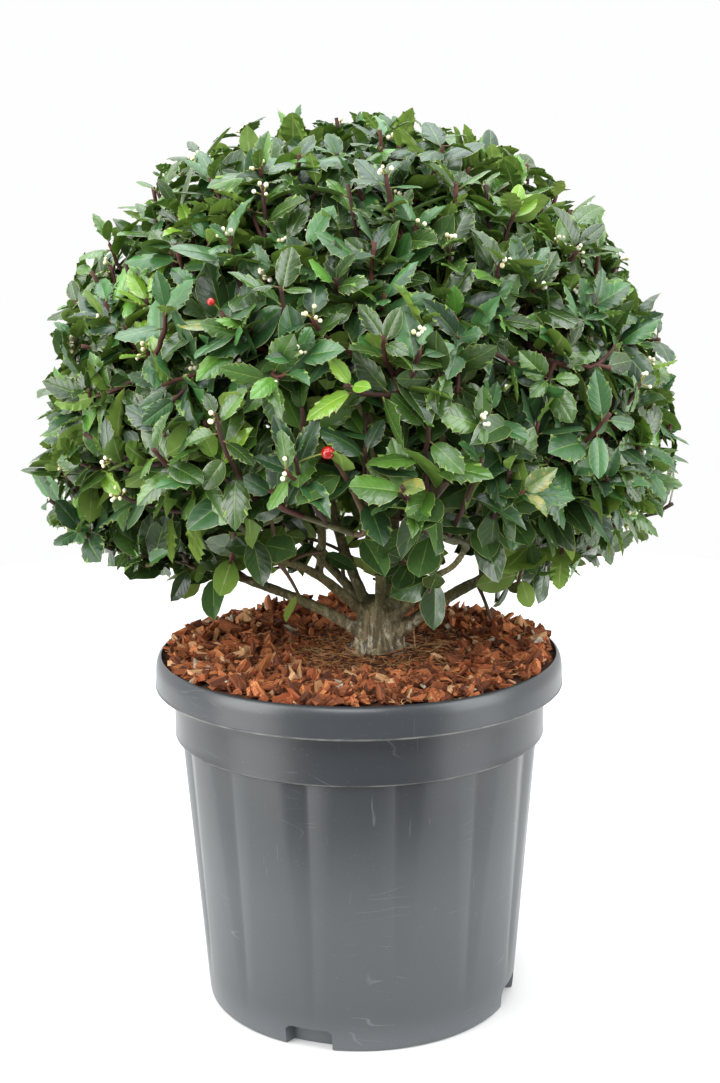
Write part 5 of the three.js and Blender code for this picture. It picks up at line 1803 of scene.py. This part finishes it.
def grow_sprig_leaves(crown, number, rng, kinds, petioles):
    """Leaves in a spiral from a sprig's end backwards. Each leans away and turns its face up to the light.

    Gives how far along the sprig each leaf stands.
    """
    sprig = crown.sprigs[number]
    outward, reach = sprig.outward, sprig.reach()

    def point(at):
        return Vector([np.interp(at, reach, sprig.path[:, k]) for k in range(3)])

    found = []
    spin = rng.uniform(0, 360)
    is_young = number in crown.young or rng.uniform() < OTHER_YOUNG
    is_worn = number in crown.worn
    outline = rng.uniform(*LEAF_OUTLINE) + TOP_OUTLINE * topness(outward.z)
    mood = rng.uniform()
    half = "a" if rng.uniform() < 0.5 else "b"
    back = rng.uniform(*FIRST_LEAF)
    for rank in range(sprig.leaves):
        if back > reach[-1] - BARE_ROOT:
            break
        at = reach[-1] - back
        place = point(at)
        along = (point(at + LEAF_LOOK) - point(at - LEAF_LOOK)).normalized()
        back += rng.uniform(*LEAF_SPACING) * (CLOSE_SPACING if rank < CLOSE_LEAVES else 1.0)
        if rng.uniform() < OPEN_THINNING * openness(place):
            continue
        aside = along.cross(UP if abs(along.z) < UPRIGHT else Vector(ACROSS_ROW)).normalized()
        size = rng.triangular(*LEAF_LENGTH) * LEAF_GROWTH[min(rank, len(LEAF_GROWTH) - 1)]
        turn = spin + rank * GOLDEN_ANGLE + rng.normal(0, LEAF_TURN_SPREAD)
        around = Quaternion(along, math.radians(turn)) @ aside
        if around.dot(outward) > FRONT_LEAF and rng.uniform() < BARE_FRONT:
            continue
        lean = LEAF_LEAN + LEAF_LEAN_MORE * min(rank, LEAF_LEAN_RANKS) + rng.normal(0, LEAF_LEAN_SPREAD)
        lean += FRONT_LEAN * max(0, around.dot(outward))
        leaf = fit_leaf(rng, place, along, around, lean, size, outline)
        if leaf is None or blocks_view(crown.views, *leaf):
            continue
        base, axis, size = leaf
        light = outward * FACE_OUT + UP * FACE_UP + astray(rng, FACE_STRAY)
        depth = CROWN_RADIUS - (base + axis * size * 0.5 - CROWN_CENTRE).length
        kind = kinds[leaf_kind(rng, is_young, is_worn, rank, mood, depth, half)]
        shape = int(rng.choice(len(LEAF_SHAPES), p=LEAF_SHAPE_SHARES))
        kind.add(shape, base, axis, along * FACE_ALONG + light, size, rng.uniform(*LEAF_BREADTH))
        found.append(at)
        if kind is not kinds["inner"]:
            petioles.add(*tube([place, place + axis * PETIOLE_LENGTH], PETIOLE_RADII, 3))
    return found


def grow_inner_leaves(crown, path, rng, kind):
    """The old leaves along a main shoot, deep in the crown."""
    for _ in range(INNER_LEAVES):
        place = Vector(path[rng.integers(0, len(path))])
        low = 1 - smoothstep(place.z, *INNER_LOW_HEIGHTS)
        if rng.uniform() < max(INNER_THINNING * openness(place), INNER_LOW_THINNING * low):
            continue
        outward = (place - CROWN_CENTRE).normalized()
        axis = (astray(rng, 1) + outward * INNER_OUT).normalized()
        face = UP + astray(rng, INNER_FACE_STRAY)
        size = rng.uniform(*INNER_LENGTH)
        is_inside = overshoot(place + axis * (size + PETIOLE)) < -INNER_CLEARANCE
        if is_inside and not blocks_view(crown.views, place, axis, size):
            shape = int(rng.integers(0, len(LEAF_SHAPES)))
            kind.add(shape, place + axis * PETIOLE, axis, face, size, 1)


def leaf_kind(rng, is_young, is_worn, rank, mood, depth, half):
    """Which colour kind a leaf belongs to."""
    if is_young and rank < YOUNG_RANKS:
        return "young"
    if is_worn and rank < WORN_RANKS:
        return "worn"
    if depth > INNER_DEPTH:
        return "inner"
    if rng.uniform() < BRIGHT_SHARES[0 if rank < BRIGHT_RANKS else 1]:
        return "bright"
    is_green = mood < GREEN_SPRIGS or rng.uniform() < GREEN_LEAVES
    return ("green_" if is_green else "dark_") + half


# ---- buds and berries


def ball(subdivisions):
    """(points, faces) of a round ball of unit radius."""
    work = bmesh.new()
    bmesh.ops.create_icosphere(work, subdivisions=subdivisions, radius=1)
    points = np.array([vertex.co[:] for vertex in work.verts])
    faces = [[vertex.index for vertex in face.verts] for face in work.faces]
    work.free()
    return points, faces


def make_buds(crown):
    """Clusters of white flower buds at the ends of some sprigs."""
    points, faces = ball(2)
    rng = seeded(BUD_DRAWS)
    buds, stalks = Batch(), Batch()
    for number in rng.choice(len(crown.sprigs), BUD_CLUSTERS, replace=False):
        path, outward = crown.sprigs[number].path, crown.sprigs[number].outward
        if path[-1][2] < BUD_LOWEST:
            continue
        root = Vector(path[-1] + (path[-2] - path[-1]) * rng.uniform(0, BUD_PLACE))
        for _ in range(rng.integers(*BUDS_PER_CLUSTER)):
            way = (outward + astray(rng, BUD_STRAY)).normalized()
            place = root + way * rng.uniform(*BUD_REACH)
            radius = rng.uniform(*BUD_RADIUS)
            stretch = 1 + BUD_STRETCH * rng.uniform()
            if blocks_view(crown.views, place, way, 0):
                continue
            buds.add(np.array(place) + points * radius * np.array([1, 1, stretch]), faces)
            stalks.add(*tube([root, place], BUD_STALK_RADII, 3))
    buds.piece("flower_buds", [bud_cream()], "foliage")
    stalks.piece("bud_stalks", [twig_bark(*BUD_STALK)], "foliage")


def make_berries(crown):
    """The two red berries, each on the sprig nearest to where the photograph shows it."""
    points, faces = ball(4)
    berries, stalks = Batch(), Batch()
    wood = [Vector(point) for sprig in crown.sprigs for point in sprig.path[BERRY_FROM_POINT:]]
    camera = Vector(CAMERA_PLACE)
    near, deep = BERRY_SHELL
    shell = [point for point in wood if near < -overshoot(point) < deep and point.y < 0]
    for x, y, radius in BERRIES_SEEN:
        way = sight((x, y))
        root = min(shell, key=lambda point: (point - camera).cross(way).length)
        place = camera + way * ((root - camera).dot(way) - radius - BERRY_GAP)
        dimple = 1 - BERRY_DIMPLE * np.exp(-(((points[:, 2] + 1) / BERRY_DIMPLE) ** 2))
        berries.add(np.array(place) + points * dimple[:, None] * radius, faces)
        middle = (root + place) / 2 + UP * BERRY_STALK_ARCH
        stalks.add(*tube(bezier([root, middle, place], 6), BERRY_STALK_RADIUS, 5))
    berries.piece("berries", [berry_red()], "foliage")
    stalks.piece("berry_stalks", [twig_bark(*BERRY_STALK)], "foliage")


# ---- assembly

make_camera()
make_studio()
make_pot()
make_bed()
make_chips()
make_fibres()
crown = Crown()
make_wood(crown)
make_leaves(crown)
make_twigs(crown)
make_buds(crown)
make_berries(crown)
